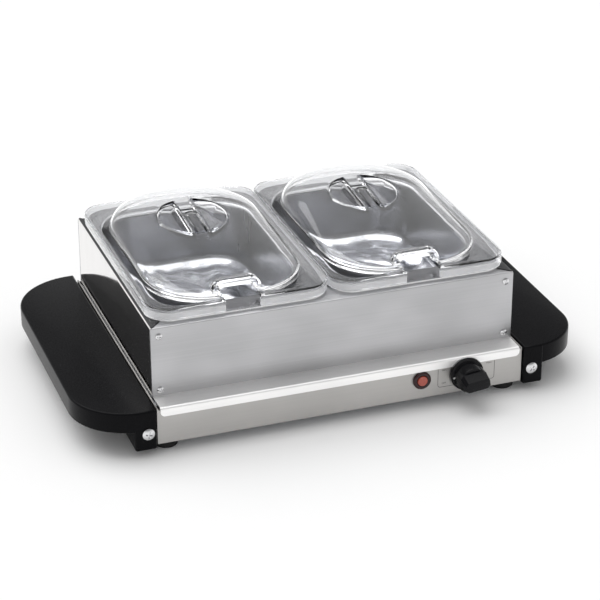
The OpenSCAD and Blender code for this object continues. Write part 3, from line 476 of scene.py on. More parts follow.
# ---------------------------------------------------------------- Pans
# Each pan is deep drawn from one stainless sheet: a turned-down rim that rests on
# the frame, a flat flange, and a bowl with rounded corners and a pressed base.
def outline(half_w, front, back, front_r, back_r, corner_steps=14, side_steps=8):
    """Closed plan of a rounded tray, anticlockwise from its right side."""
    corners = (
        (half_w - back_r, back - back_r, back_r, 0),
        (-half_w + back_r, back - back_r, back_r, 90),
        (-half_w + front_r, -front + front_r, front_r, 180),
        (half_w - front_r, -front + front_r, front_r, 270),
    )
    points = []
    for x, y, radius, start in corners:
        for step in range(corner_steps + 1):
            a = math.radians(start + 90 * step / corner_steps)
            points.append((x + radius * math.cos(a), y + radius * math.sin(a)))
    whole = []
    for index, point in enumerate(points):
        whole.append(point)
        if index % (corner_steps + 1) == corner_steps:
            after = points[(index + 1) % len(points)]
            for step in range(1, side_steps):
                share = step / side_steps
                whole.append((point[0] + (after[0] - point[0]) * share,
                              point[1] + (after[1] - point[1]) * share))
    return whole


def tray_ring(half_w, front, back, front_r, back_r, inset, z):
    """One level of a tray, drawn in by inset, at the height z."""
    plan = outline(half_w - inset, front - inset, back - inset,
                   max(1 * MM, front_r - inset), max(1 * MM, back_r - inset))
    return [(x, y, z) for x, y in plan]


def loft(rings, centre=None, start=None):
    """Points and faces through equal rings, closed at the end or start by a centre point."""
    count = len(rings[0])
    points = [point for ring in rings for point in ring]
    faces = strip_faces(len(rings), count, close=True)
    if centre is not None:
        last = (len(rings) - 1) * count
        points.append(centre)
        faces += [(last + j, last + (j + 1) % count, len(points) - 1) for j in range(count)]
    if start is not None:
        points.append(start)
        faces += [((j + 1) % count, j, len(points) - 1) for j in range(count)]
    return points, faces


def height_in(paint):
    """Height above the worktop, on which the bands of a finish are set."""
    return paint.node("ShaderNodeTexCoord", out="Object").part("Z")


# Heights in metres between which one band of a pan's painted light and shade gives way to the next
painted_light_base_band = (0.0640, 0.0680)
shade_band = (0.070, 0.106)
mouth_highlight_band = (0.1150, 0.1172)
flange_shade_band = (0.1194, 0.1202)


def pan_finish():
    """Drawn steel, faintly clouded, written in bands of painted light and shade by height: a dark grey
    flange, satin walls darkened as a painted reflection with painted shade low down, a painted highlight
    at the mouth and a near-white base of painted light.
    """
    material, shader, paint = new_finish("steel_drawn", (0.60, 0.60, 0.62), 1.0, 0.25)
    clouds = stretched_noise(paint, (16.0, 16.0, 10.0), detail=3.0)
    streaks = stretched_noise(paint, (260.0, 260.0, 14.0), detail=3.0)
    height = height_in(paint)
    base = height.steps(*painted_light_base_band, 1.0, 0.0)
    mouth = height.steps(*mouth_highlight_band)
    flange = height.steps(*flange_shade_band)
    tone = (clouds.steps(0.3, 0.7) * 0.9 + streaks * 0.1).clamp()
    # Satin walls written darker than the steel: a painted reflection
    wall = tone.mix((0.24, 0.245, 0.27), (0.40, 0.40, 0.42))
    # Painted shade on the lower walls, with a cloudy edge
    shade = height.steps(*shade_band, 1.0, 0.0) * clouds.steps(0.40, 0.56, 0.45, 1.0)
    shaded_low_wall = shade.mix(wall, (0.035, 0.04, 0.058))
    # A painted highlight along the mouth's roll
    painted_highlight_mouth = mouth.mix(shaded_low_wall, (0.74, 0.74, 0.75))
    # Flange and rim written dark grey: painted shade
    above_base = flange.mix(painted_highlight_mouth, (0.175, 0.175, 0.183))
    # The base written near white: painted light
    link(base.mix(above_base, (0.94, 0.95, 0.98)), shader, "Base Color")
    link(clouds * 0.16 + streaks * 0.04 + 0.14, shader, "Roughness")
    # The pressed base is a little wavy, so that it mirrors the light above in patches
    waves = stretched_noise(paint, (17.0, 13.0, 1.0), detail=2.0)
    link(bumped(paint, clouds * 0.1 + waves * base * 20.0, 1.0, 0.001), shader, "Normal")
    return material


drawn_steel = pan_finish()
pan_sheet = 0.8 * MM
pan_low, pan_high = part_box("pan_left")
pan_y = (pan_low.y + pan_high.y) / 2
# Half width, front and back of a tray's plan, then its front and back corner radii
bowl_size = (75 * MM, 102 * MM, 117 * MM, 60 * MM, 40 * MM)
rim_size = (88.25 * MM, 127.5 * MM, 127.5 * MM, 23 * MM, 23 * MM)
rim_roll = 1.5 * MM
mouth_roll = 3.0 * MM
flange_sink = 0.1 * MM
base_roll = 13 * MM
base_inset = 4 * MM


def pan_rings():
    """Levels of a pan from its rim's lower edge over the flange to near the base's middle."""
    top, bottom = pan_high.z, pan_low.z + pan_sheet
    mouth_top = top - flange_sink
    rings = [tray_ring(*rim_size, 0, front_high.z)]
    rings += [tray_ring(*rim_size, rim_roll - y, z)
              for y, z in bend((0, top - rim_roll), rim_roll, 0, 90)]
    rings += [tray_ring(*bowl_size, -mouth_roll - 3 * MM, mouth_top)]
    rings += [tray_ring(*bowl_size, -mouth_roll + y, z)
              for y, z in bend((0, mouth_top - mouth_roll), mouth_roll, 90, 0)]
    rings += [tray_ring(*bowl_size, base_inset / 2, (top + bottom) / 2)]
    rings += [tray_ring(*bowl_size, base_inset + base_roll - y, z)
              for y, z in bend((0, bottom + base_roll), base_roll, 0, -90, 8)]
    # A shallow step pressed into the base, and a slightly crowned middle
    for inset, lift in ((26, 0.0), (28.5, 0.9), (30, 1.2), (44, 2.4), (56, 3.0)):
        rings.append(tray_ring(*bowl_size, inset * MM, bottom + lift * MM))
    return rings


base_middle = (0, 6.5 * MM, pan_low.z + pan_sheet + 3.1 * MM)
for name in ("pan_left", "pan_right"):
    low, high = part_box(name)
    middle = Vector(((low.x + high.x) / 2, pan_y, 0))
    pan_points, pan_faces = loft(pan_rings(), base_middle)
    pan_piece = new_piece(name + "_drawn", [Vector(point) + middle for point in pan_points],
                          pan_faces, drawn_steel, sharp=50)
    fit(thicken(pan_piece, pan_sheet), name, "pan_steel", name)


# ---------------------------------------------------------------- Lids
# Each lid is one clear polycarbonate moulding: a skirt, a flange and a dome that
# rises to the back, with two finger pockets beside a bar and a notch for a spoon.
lid_wall = 2.2 * MM
skirt_h = 10.4 * MM
lid_edge = 1.8 * MM
lid_size = (88.75 * MM, 128.25 * MM, 128.25 * MM, 24 * MM, 24 * MM)
dome_size = (76 * MM, 118 * MM, 122 * MM, 60 * MM, 72 * MM)
dome_h = 15.64 * MM
dome_tilt = 0.8
dome_power = 2.7
dome_root = 2.3
dome_levels = 22
grip_r = 34.5 * MM
grip_back = 30 * MM
grip_depth = 6 * MM
grip_bar = 9.5 * MM
grip_floor = math.tan(math.radians(10))
grip_place = (Matrix.Translation((0, grip_back, dome_h * (1 + dome_tilt * grip_back / dome_size[2])))
              @ Matrix.Rotation(math.atan(dome_h * dome_tilt / dome_size[2]), 4, "X"))
notch_half = 17 * MM
notch_rise = 5 * MM
notch_r = 4 * MM
bead_t = 6.5 * MM
bead_front = -lid_size[1] + 18 * MM
bead_back = bead_front + 11 * MM


def middle_of(ring):
    """The point in the middle of a ring."""
    return sum((Vector(point) for point in ring), Vector()) / len(ring)


def solid(name, rings, material):
    """A closed piece through a row of convex rings, with its normals turned outwards."""
    points, faces = loft(rings, middle_of(rings[-1]), middle_of(rings[0]))
    piece = new_piece(name, points, faces, material)
    shape = bmesh.new()
    shape.from_mesh(piece.data)
    bmesh.ops.recalc_face_normals(shape, faces=shape.faces)
    shape.to_mesh(piece.data)
    shape.free()
    return piece


def combine(piece, *steps, sharp=35.0):
    """Joins tools to a piece or cuts them from it, one after the other."""
    for operation, tool in steps:
        modifier = piece.modifiers.new(tool.name, "BOOLEAN")
        modifier.operation = operation
        modifier.solver = "EXACT"
        modifier.object = tool
    bake_modifiers(piece, sharp)
    for _, tool in steps:
        bpy.data.objects.remove(tool)
    return piece


def dome_rings(inset):
    """The dome from its foot to near its middle, drawn in by inset all over."""
    plan = outline(*(size - inset for size in dome_size))
    angles = [math.pi / 2 * (step / dome_levels) ** 1.3 for step in range(1, dome_levels)]
    profile = [(math.cos(a) ** (2 / dome_power), math.sin(a) ** (2 / dome_root)) for a in angles]
    profile += [(share, (1 - share ** dome_power) ** (1 / dome_root)) for share in (0.14, 0.09, 0.045)]
    height = dome_h - inset
    return [[(x * share, y * share, height * (1 + dome_tilt * y * share / dome_size[2]) * rise)
             for x, y in plan] for share, rise in profile]


def lid_outside(material):
    """The moulding's outer shape: skirt, rounded edge, flange and dome."""
    rings = [tray_ring(*lid_size, 0, -skirt_h)]
    rings += [tray_ring(*lid_size, lid_edge - y, z)
              for y, z in bend((0, -lid_edge), lid_edge, 0, 90)]
    rings += [tray_ring(*dome_size, -1.2 * MM, 0), tray_ring(*dome_size, -0.35 * MM, 0.35 * MM)]
    return solid("lid_outside", rings + dome_rings(0), material)


def lid_inside(material):
    """The hollow under it, one wall further in all over."""
    rings = [tray_ring(*lid_size, lid_wall, -skirt_h - 1 * MM),
             tray_ring(*lid_size, lid_wall, -lid_wall),
             tray_ring(*dome_size, lid_wall, -lid_wall)]
    return solid("lid_inside", rings + dome_rings(lid_wall), material)


def pocket(side, grow, rounded, material):
    """The half-round space at one side of the grip bar, over a floor that slopes to the bar."""
    def ring(inset, lift, top=None):
        """One level of the space: an arc round the grip and a straight edge along the bar."""
        radius = grip_r + grow - inset
        edge = grip_bar - grow + inset
        reach = math.acos(edge / radius)
        plan = [(radius * math.cos(a), radius * math.sin(a))
                for a in (reach * (step / 12 - 1) for step in range(25))]
        plan += [(edge, radius * math.sin(reach) * (1 - step / 4)) for step in range(1, 8)]
        return [grip_place @ Vector((side * x, y, top if top is not None else
                                     (x - grip_bar) * grip_floor - grip_depth - grow + lift))
                for x, y in plan]

    levels = [(2.4, 0.0), (1.1, 0.2), (0.35, 0.8), (0.0, 1.8)] if rounded else [(0.0, 0.0)]
    rings = [ring(inset * MM, lift * MM) for inset, lift in levels]
    rings.append(ring(-0.9 * MM if rounded else 0.0, 0.0, 9 * MM))
    return solid("pocket", rings, material)


def arch(half_w, rise, radius, foot, y):
    """Section of the notch or of the bead around it."""
    points = [(half_w, -foot)]
    points += bend((half_w - radius, rise - radius), radius, 0, 90)
    points += bend((-half_w + radius, rise - radius), radius, 90, 180)
    points += [(-half_w, -foot)]
    return [(x, y, z) for x, z in points]


def bead(material):
    """The hoop that stands over the notch, rounded at its front and back."""
    rounding = 2.2 * MM
    levels = [(bead_front + rounding * (1 - math.cos(a)), rounding * (1 - math.sin(a)))
              for a in (math.radians(90 * step / 5) for step in range(6))]
    levels += [(bead_back + bead_front - y, inset) for y, inset in reversed(levels)]
    rings = [arch(notch_half + bead_t - inset, notch_rise + bead_t - inset, notch_r + bead_t - inset,
                  lid_wall / 2, y) for y, inset in levels]
    return solid("bead", rings, material)


def bead_leg(side, material):
    """The low ridge from the hoop to the lid's front edge, beside the notch."""
    half_w, radius, centre_z, foot = 2 * MM, 1 * MM, 0.6 * MM, -1 * MM
    section = [(half_w, foot)] + bend((half_w - radius, centre_z), radius, 0, 90, 4)
    section += bend((radius - half_w, centre_z), radius, 90, 180, 4) + [(-half_w, foot)]
    x0 = side * (notch_half + half_w)
    edge_y = -lid_size[1]
    ends = (edge_y + 0.4 * MM, 0.6 * MM), (edge_y + 1.2 * MM, 0.0), (bead_front + 3 * MM, 0.0)
    rings = [[(x0 + x, y, z - drop) for x, z in section] for y, drop in ends]
    return solid("bead_leg", rings, material)


def bar_recess(material):
    """The lowered front part of the grip bar."""
    half_w, floor_z, ramp_top, top = 11 * MM, -1.5 * MM, 0.4 * MM, 5 * MM
    rings = []
    for y, low in ((-grip_r - 0.6 * MM, floor_z), (11 * MM, floor_z), (12.5 * MM, ramp_top)):
        corners = ((-half_w, y, low), (half_w, y, low), (half_w, y, top), (-half_w, y, top))
        rings.append([grip_place @ Vector(corner) for corner in corners])
    return solid("bar_recess", rings, material)


def bar_groove(material):
    """The groove on the grip bar, shaped like a U that is open to the front."""
    radius, groove_r, height = 5 * MM, 1.6 * MM, -0.9 * MM
    open_end = -grip_r - 1 * MM
    path = [(radius, open_end)] + bend((0, 2.5 * MM), radius, 0, 180, 14) + [(-radius, open_end)]
    rings = []
    for index, (x, y) in enumerate(path):
        before, after = path[max(0, index - 1)], path[min(len(path) - 1, index + 1)]
        along = Vector((after[0] - before[0], after[1] - before[1], 0)).normalized()
        across = Vector((along.y, -along.x, 0))
        rings.append([grip_place @ (Vector((x, y, height)) + across * groove_r * math.cos(a)
                                    + Vector((0, 0, groove_r * math.sin(a))))
                      for a in (math.tau * step / 12 for step in range(12))])
    return solid("bar_groove", rings, material)


# Heights in metres over which the painted white highlight on the skirt fades out
skirt_highlight_band = (0.1255, 0.1280)


def clear_finish():
    """Clear polycarbonate, with a painted white highlight mixed into the skirt's edge."""
    material, shader, paint = new_finish("polycarbonate_clear", (0.965, 0.968, 0.975), 0.0, 0.02)
    shader.inputs["Transmission Weight"].default_value = 1.0
    shader.inputs["IOR"].default_value = 1.49
    haze = stretched_noise(paint, (60.0, 60.0, 60.0), detail=3.0)
    link(haze * 0.03 + 0.01, shader, "Roughness")
    # A lamp's light goes straight through, so that a lid throws only a faint shadow
    through = paint.node("ShaderNodeBsdfTransparent", None, {"Color": (0.9, 0.91, 0.92, 1.0)})
    in_shadow = paint.node("ShaderNodeLightPath", out="Is Shadow Ray")
    plastic = Paint(paint.tree, shader.outputs["BSDF"])
    lit = paint.node("ShaderNodeMixShader", None, {0: in_shadow, 1: plastic, 2: through})
    # A white plastic shader mixed into the skirt's edge: a painted highlight
    painted_skirt_highlight = paint.node("ShaderNodeBsdfPrincipled", None,
                       {"Base Color": (0.94, 0.94, 0.95, 1.0), "Roughness": 0.25})
    share = height_in(paint).steps(*skirt_highlight_band, 0.30, 0.0)
    edged = paint.node("ShaderNodeMixShader", None, {0: share, 1: lit, 2: painted_skirt_highlight})
    link(edged, paint.tree.nodes["Material Output"], "Surface")
    return material


clear = clear_finish()
hollow = combine(lid_inside(clear), ("DIFFERENCE", pocket(-1, lid_wall, False, clear)),
                 ("DIFFERENCE", pocket(1, lid_wall, False, clear)), ("DIFFERENCE", bead(clear)))
notch_section = (notch_half, notch_rise, notch_r, skirt_h + 2 * MM)
notch = solid("notch", [arch(*notch_section, -lid_size[1] - 2 * MM),
                        arch(*notch_section, bead_back + 1 * MM)], clear)
lid_shape = combine(
    lid_outside(clear), ("UNION", bead(clear)),
    ("UNION", bead_leg(-1, clear)), ("UNION", bead_leg(1, clear)), ("DIFFERENCE", hollow),
    ("DIFFERENCE", pocket(-1, 0, True, clear)), ("DIFFERENCE", pocket(1, 0, True, clear)),
    ("DIFFERENCE", bar_recess(clear)), ("DIFFERENCE", bar_groove(clear)),
    ("DIFFERENCE", notch), sharp=32.0)
for name in ("lid_left", "lid_right"):
    low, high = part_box(name)
    mesh = lid_shape.data.copy()
    mesh.transform(Matrix.Translation(((low.x + high.x) / 2, pan_y, low.z + skirt_h)))
    fit(placed(name + "_moulded", mesh), name, "clear_plastic", name)
bpy.data.objects.remove(lid_shape)


# ---------------------------------------------------------------- End caps
# A black moulded cap closes each end of the base. Its rounded lip hangs free of the
# side wall, on a leg block at the front and one at the back that hold its screws.
def grained_finish(name, dark, light, metallic=0.0, roughness=0.45, grain=900.0, specular=0.3):
    """A finish mottled between two close colours, with a fine grain in its surface."""
    material, shader, paint = new_finish(name, light, metallic, roughness)
    shader.inputs["Specular IOR Level"].default_value = specular
    mottle = stretched_noise(paint, (30.0, 30.0, 30.0), detail=3.0)
    specks = stretched_noise(paint, (grain, grain, grain))
    link(mottle.mix(dark, light), shader, "Base Color")
    link(specks * 0.12 + (roughness - 0.06), shader, "Roughness")
    link(bumped(paint, specks, 0.2, 0.00003), shader, "Normal")
    return material


def turned(name, pairs, material, centre, steps=48):
    """A solid turned about the Y axis through a centre, by (radius, y) pairs."""
    turns = [math.tau * step / steps for step in range(steps)]
    rings = [[Vector(centre) + Vector((radius * math.cos(a), y, radius * math.sin(a))) for a in turns]
             for radius, y in pairs]
    return solid(name, rings, material)


cap_black = grained_finish("plastic_black", (0.002, 0.002, 0.0025), (0.004, 0.004, 0.005),
                           roughness=0.28, grain=1500.0, specular=0.07)
cap_low, cap_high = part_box("end_cap_right")
cap_wall = 3 * MM
cap_lip = cap_high.z - 20 * MM
cap_front_r = 57 * MM
cap_back_r = 64 * MM
leg_w = 20.5 * MM
leg_d = 36 * MM
leg_wall = 6 * MM
cap_play = 0.5 * MM
cap_screw = Vector((cap_low.x + 8.2 * MM, 0, 24 * MM))
cap_bore_r = 2.35 * MM
cap_recess_r = 5.95 * MM


def cap_ring(inset, z):
    """One level of a cap, with its straight side next to the base."""
    x0, x1 = cap_low.x + inset, cap_high.x - inset
    y0, y1 = cap_low.y + inset, cap_high.y - inset
    front_r, back_r = cap_front_r - inset, cap_back_r - inset
    plan = [(x0, y0)] + bend((x1 - front_r, y0 + front_r), front_r, -90, 0, 20)
    plan += bend((x1 - back_r, y1 - back_r), back_r, 0, 90, 20) + [(x0, y1)]
    return [(x, y, z) for x, y in plan]


def cap_leg(span, rounding, wall, end_walls, top):
    """A leg block, or with walls the room inside it that opens towards the base."""
    x0, x1 = cap_low.x - (cap_play if wall else 0), cap_low.x + leg_w - wall
    y0, y1 = span[0] + end_walls[0], span[1] - end_walls[1]
    half_w, half_d = (x1 - x0) / 2, (y1 - y0) / 2
    low = cap_low.z + wall
    corner_r = rounding + 0.2 * MM
    levels = ((rounding * 0.7, low), (rounding * 0.2, low + rounding * 0.3),
              (0, low + rounding), (0, top))
    rings = []
    for inset, z in levels:
        plan = outline(half_w - inset, half_d - inset, half_d - inset, corner_r, corner_r, 5, 1)
        rings.append([(x + (x0 + x1) / 2, y + (y0 + y1) / 2, z) for x, y in plan])
    return solid("leg", rings, cap_black)


def cap_screw_hole(start, end, radius):
    """A cutter on the axis of a cap's screws, from one depth to another."""
    return turned("hole", [(radius, start), (radius, end)], cap_black, cap_screw)


cap_round = 2 * MM
lip_chamfer = 0.6 * MM
cap_body = solid("end_cap", [cap_ring(lip_chamfer, cap_lip), cap_ring(0, cap_lip + lip_chamfer)]
                 + [cap_ring(cap_round - y, z) for y, z in
                    bend((0, cap_high.z - cap_round), cap_round, 0, 90)], cap_black)
cap_hollow = solid("hollow", [cap_ring(cap_wall, cap_lip - 1 * MM),
                              cap_ring(cap_wall, cap_high.z - cap_wall)], cap_black)
front_leg = (cap_low.y + 0.01 * MM, cap_low.y + leg_d)
back_leg = (cap_high.y - leg_d, cap_high.y - 0.01 * MM)
leg_top = cap_high.z - cap_wall / 2
room_top = cap_high.z - cap_wall
combine(cap_body, ("DIFFERENCE", cap_hollow),
        ("UNION", cap_leg(front_leg, 1.8 * MM, 0, (0, 0), leg_top)),
        ("UNION", cap_leg(back_leg, 1.8 * MM, 0, (0, 0), leg_top)),
        ("DIFFERENCE", cap_leg(front_leg, 0.5 * MM, cap_wall, (leg_wall, cap_wall), room_top)),
        ("DIFFERENCE", cap_leg(back_leg, 0.5 * MM, cap_wall, (cap_wall, leg_wall), room_top)),
        ("DIFFERENCE", cap_screw_hole(cap_low.y - 1 * MM, cap_low.y + leg_wall + 1 * MM, cap_bore_r)),
        ("DIFFERENCE", cap_screw_hole(cap_high.y - leg_wall - 1 * MM, cap_high.y - 2 * MM, cap_bore_r)),
        ("DIFFERENCE", cap_screw_hole(cap_high.y - 3 * MM, cap_high.y + 1 * MM, cap_recess_r)))
left_mesh = cap_body.data.copy()
left_mesh.transform(Matrix.Scale(-1, 4, (1, 0, 0)))
left_mesh.flip_normals()
left_cap = placed("end_cap_left_moulded", left_mesh)
cap_body.name = "end_cap_right_moulded"
fit(cap_body, "base", "black_plastic", "end_cap_right")
fit(left_cap, "base", "black_plastic", "end_cap_left")


# ---------------------------------------------------------------- Screws and feet
# Pan-head screws with a cross recess hold the caps and the frame, and the feet are
# of black rubber. A Geometry Nodes tree shapes each kind and sets it on its places.
def start_tree(name, *sizes):
    """A tree with its named inputs, given back as paints."""
    tree = bpy.data.node_groups.new(name, "GeometryNodeTree")
    face = tree.interface
    face.new_socket("Places", in_out="INPUT", socket_type="NodeSocketGeometry")
    for size in sizes:
        face.new_socket(size, in_out="INPUT", socket_type="NodeSocketFloat")
    face.new_socket("Finish", in_out="INPUT", socket_type="NodeSocketMaterial")
    face.new_socket("Geometry", in_out="OUTPUT", socket_type="NodeSocketGeometry")
    entry = tree.nodes.new("NodeGroupInput")
    return tree, {name: Paint(tree, socket) for name, socket in entry.outputs.items() if name}


def finish_tree(tree, given, shape):
    """Sets the shape on every place, turned as the place says."""
    turn = shape.node("GeometryNodeInputNamedAttribute", {"data_type": "FLOAT_VECTOR"},
                      {"Name": "turn"})
    rotation = shape.node("FunctionNodeEulerToRotation", None, {0: turn})
    copies = shape.node("GeometryNodeInstanceOnPoints", None,
                        {"Points": given["Places"], "Instance": shape, "Rotation": rotation})
    whole = shape.node("GeometryNodeRealizeInstances", None, {0: copies})
    painted = shape.node("GeometryNodeSetMaterial", None,
                         {"Geometry": whole, "Material": given["Finish"]})
    leave = tree.nodes.new("NodeGroupOutput")
    tree.links.new(painted.socket, leave.inputs[0])
    return tree


def raised(shape, z):
    """A shape moved up along Z."""
    place = shape.node("ShaderNodeCombineXYZ", None, {2: z})
    return shape.node("GeometryNodeTransform", None, {"Geometry": shape, "Translation": place})


def combined(operation, first, second):
    """Two closed shapes as one, what they share, or the first less the second."""
    pair = {"Mesh 2": (first, second)}
    if operation == "DIFFERENCE":
        pair = {"Mesh 1": first, "Mesh 2": second}
    return first.node("GeometryNodeMeshBoolean", {"operation": operation, "solver": "EXACT"}, pair)


def cylinder(paint, radius, depth, vertices):
    """An upright cylinder about the origin."""
    return paint.node("GeometryNodeMeshCylinder", None,
                      {"Vertices": vertices, "Radius": radius, "Depth": depth})


def screw_tree():
    """A pan-head screw: a cylinder capped by a ball, crossed by two blades, on its shank."""
    tree, given = start_tree("screws", "Head Radius", "Head Height", "Shank Radius", "Shank Length")
    radius, rise, length = given["Head Radius"], given["Head Height"], given["Shank Length"]
    crown = rise * 0.6
    ball_r = (radius * radius + crown * crown) / (crown * 2.0)
    head = raised(cylinder(radius, radius, rise, 48), rise * 0.5)
    ball = head.node("GeometryNodeMeshUVSphere", None, {"Segments": 64, "Rings": 48, "Radius": ball_r})
    head = combined("INTERSECT", head, raised(ball, rise - ball_r))
    for long_axis in (0, 1):
        lengths = [radius * 0.26, radius * 0.26, rise]
        lengths[long_axis] = radius * 1.1
        size = head.node("ShaderNodeCombineXYZ", None, dict(enumerate(lengths)))
        blade = raised(head.node("GeometryNodeMeshCube", None, {"Size": size}), rise * 0.98)
        head = combined("DIFFERENCE", head, blade)
    shank = raised(cylinder(head, given["Shank Radius"], length, 20), length * -0.5)
    return finish_tree(tree, given, head.node("GeometryNodeJoinGeometry", None, {0: (head, shank)}))


def foot_tree():
    """A round rubber foot with a chamfered toe and a room for its screw's head."""
    tree, given = start_tree("feet", "Radius", "Height", "Recess Radius", "Recess Depth")
    radius, rise = given["Radius"], given["Height"]
    chamfer = 1 * MM
    body = raised(cylinder(radius, radius, rise - chamfer, 56), (rise + chamfer) * 0.5)
    toe = body.node("GeometryNodeMeshCone", None, {
        "Vertices": 56, "Radius Top": radius, "Radius Bottom": radius - chamfer,
        "Depth": chamfer * 1.1})
    recess = cylinder(body, given["Recess Radius"], given["Recess Depth"] * 2.0, 32)
    body = combined("DIFFERENCE", combined("UNION", body, toe), recess)
    return finish_tree(tree, given, body)


def set_on_places(name, tree, places, values, sharp=35.0):
    """A plain mesh of the tree's shape at every (place, turn in degrees)."""
    mesh = bpy.data.meshes.new(name)
    mesh.from_pydata([tuple(place) for place, _ in places], [], [])
    turns = mesh.attributes.new("turn", "FLOAT_VECTOR", "POINT")
    for index, (_, turn) in enumerate(places):
        turns.data[index].vector = [math.radians(angle) for angle in turn]
    piece = placed(name, mesh)
    modifier = piece.modifiers.new("row", "NODES")
    modifier.node_group = tree
    for item in tree.interface.items_tree:
        if item.in_out == "INPUT" and item.name in values:
            modifier[item.identifier] = values[item.name]
    return bake_modifiers(piece, sharp)


def screw_row(name, node, sizes, material, body, slot, spins, level=False):
    """Screws at the corners of their node's box: in the end walls, or in the underside."""
    low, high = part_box(node)
    head_r, head_h, shank_r, shank_len = (size * MM for size in sizes)
    places = []
    for index, spin in enumerate(spins):
        x = (low.x + head_r, high.x - head_r)[index % 2]
        second = index // 2 % 2 == 1
        if level:
            y = high.y - head_r if second else low.y + head_r
            places.append(((x, y, low.z + head_h), (180, 0, spin)))
        else:
            y = high.y - head_h if second else low.y + head_h
            z = (low.z + head_r, high.z - head_r)[index // 4 % 2]
            places.append(((x, y, z), (-90, spin, 0) if second else (90, spin, 0)))
    values = {"Head Radius": head_r, "Head Height": head_h, "Shank Radius": shank_r,
              "Shank Length": shank_len, "Finish": material}
    return fit(set_on_places(name, screw_group, places, values, sharp=30.0), body, slot, node)


screw_group = screw_tree()
chrome = grained_finish("steel_bright_plated", (0.62, 0.62, 0.63), (0.72, 0.72, 0.73),
                        1.0, 0.16, 500.0, 0.5)
zinc = grained_finish("steel_zinc_plated", (0.46, 0.48, 0.50), (0.60, 0.61, 0.62),
                      1.0, 0.34, 500.0, 0.5)
# Sizes in millimetres: head radius and height, shank radius and length
screw_row("cap_screws_chromed", "cap_screws", (5.8, 3.0, 2.2, 8.2), chrome, "base", "chrome",
          (12, 38, 21, 5))
screw_row("frame_screws_chromed", "frame_screws", (3.3, 1.8, 1.7, 7), chrome, "frame", "chrome",
          (30, 8, 17, 41, 2, 25, 36, 11))
screw_row("bottom_screws_plated", "bottom_screws", (3.0, 1.6, 1.6, 6), zinc, "base", "zinc_steel",
          (10, 33, 22, 4), level=True)
screw_row("foot_screws_plated", "foot_screws", (4.0, 2.4, 2.0, 11.2), zinc, "base", "zinc_steel",
          (15, 40, 3, 27), level=True)

rubber = grained_finish("rubber_black", (0.010, 0.010, 0.010), (0.018, 0.018, 0.018), roughness=0.7)
foot_low, foot_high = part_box("rubber_feet")
foot_r = 11 * MM
foot_places = [((x, y, 0), (0, 0, 0)) for x in (foot_low.x + foot_r, foot_high.x - foot_r)
               for y in (foot_low.y + foot_r, foot_high.y - foot_r)]
feet = set_on_places("rubber_feet_turned", foot_tree(), foot_places,
                     {"Radius": foot_r, "Height": foot_high.z, "Recess Radius": 5 * MM,
                      "Recess Depth": 4 * MM, "Finish": rubber})
fit(feet, "base", "rubber", "rubber_feet")


# ---------------------------------------------------------------- Knob and lamp
# The thermostat's knob is one black moulding with a sloped grip bar and a white dot
# on its skirt. The lamp beside it has a dark red bezel and a lens of clear red.
knob_low, knob_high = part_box("control_knob")
shaft_low, shaft_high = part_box("thermostat_shaft")
knob_axis = Vector(((shaft_low.x + shaft_high.x) / 2, 0, (shaft_low.z + shaft_high.z) / 2))
knob_back, knob_front = knob_high.y, knob_low.y
knob_tilt = 6.4
knob_place = Matrix.Translation(knob_axis) @ Matrix.Rotation(math.radians(-knob_tilt), 4, "Y")
knob_black = grained_finish("plastic_knob", (0.003, 0.003, 0.004), (0.006, 0.006, 0.007),
                            0.0, 0.26, 1600.0, 0.16)


def profile(back, *pairs):
    """Radius and place along Y, from pairs of a radius and a step forward in millimetres."""
    return [(radius * MM, back - forward * MM) for radius, forward in pairs]


skirt = turned("control_knob_moulded", profile(
    knob_back, (16.0, 0), (16.6, 0.5), (16.6, 2.6), (16.3, 3.2), (15.7, 3.5), (13.9, 3.5),
    (13.4, 3.9), (12.7, 15.0), (12.3, 16.2), (11.4, 16.5)), knob_black, (0, 0, 0), 96)
# Half width, half thickness and corner of the grip bar, from the skirt to its front
grip_rings = []
for half_w, half_t, corner, y in (
        (13.4, 8.9, 3.2, knob_back - 1 * MM), (13.4, 8.9, 3.2, knob_back - 18.2 * MM),
        (13.1, 8.4, 3.2, knob_back - 18.9 * MM), (12.6, 5.3, 2.8, knob_front + 0.8 * MM),
        (12.2, 4.9, 2.6, knob_front + 0.2 * MM), (11.6, 4.4, 2.4, knob_front)):
    w, t, c = half_w * MM, half_t * MM, corner * MM
    grip_rings.append([(x, y, z) for x, z in ((w, t - c), (w - c, t), (c - w, t), (-w, t - c),
                                              (-w, c - t), (c - w, -t), (w - c, -t), (w, c - t))])
grip = solid("grip", grip_rings, knob_black)
dot_at = (-14.0 * MM, 0, 0)
dot_hole = turned("dot_hole", profile(knob_back, (1.2, 3.1), (1.2, 6)), knob_black, dot_at, 24)
nut_room = turned("nut_room", profile(knob_back, (8.4, -1), (8.4, 4)), knob_black, (0, 0, 0))
shaft_bore = turned("shaft_bore", [(3.2 * MM, knob_back - 3 * MM), (3.2 * MM, knob_front + 8 * MM)],
                    knob_black, (0, 0, 0), 32)
combine(skirt, ("UNION", grip), ("DIFFERENCE", dot_hole), ("DIFFERENCE", nut_room),
        ("DIFFERENCE", shaft_bore), sharp=28.0)
skirt.data.transform(knob_place)
fit(skirt, "knob", "knob_plastic", "control_knob")
white_paint = grained_finish("paint_white", (0.78, 0.78, 0.77), (0.86, 0.86, 0.85),
                             roughness=0.5, specular=0.4)
dot = turned("knob_dot", profile(knob_back, (1.15, 3.05), (1.15, 3.3)), white_paint, dot_at, 24)
dot.data.transform(knob_place)
fit(dot, "knob", "knob_plastic")

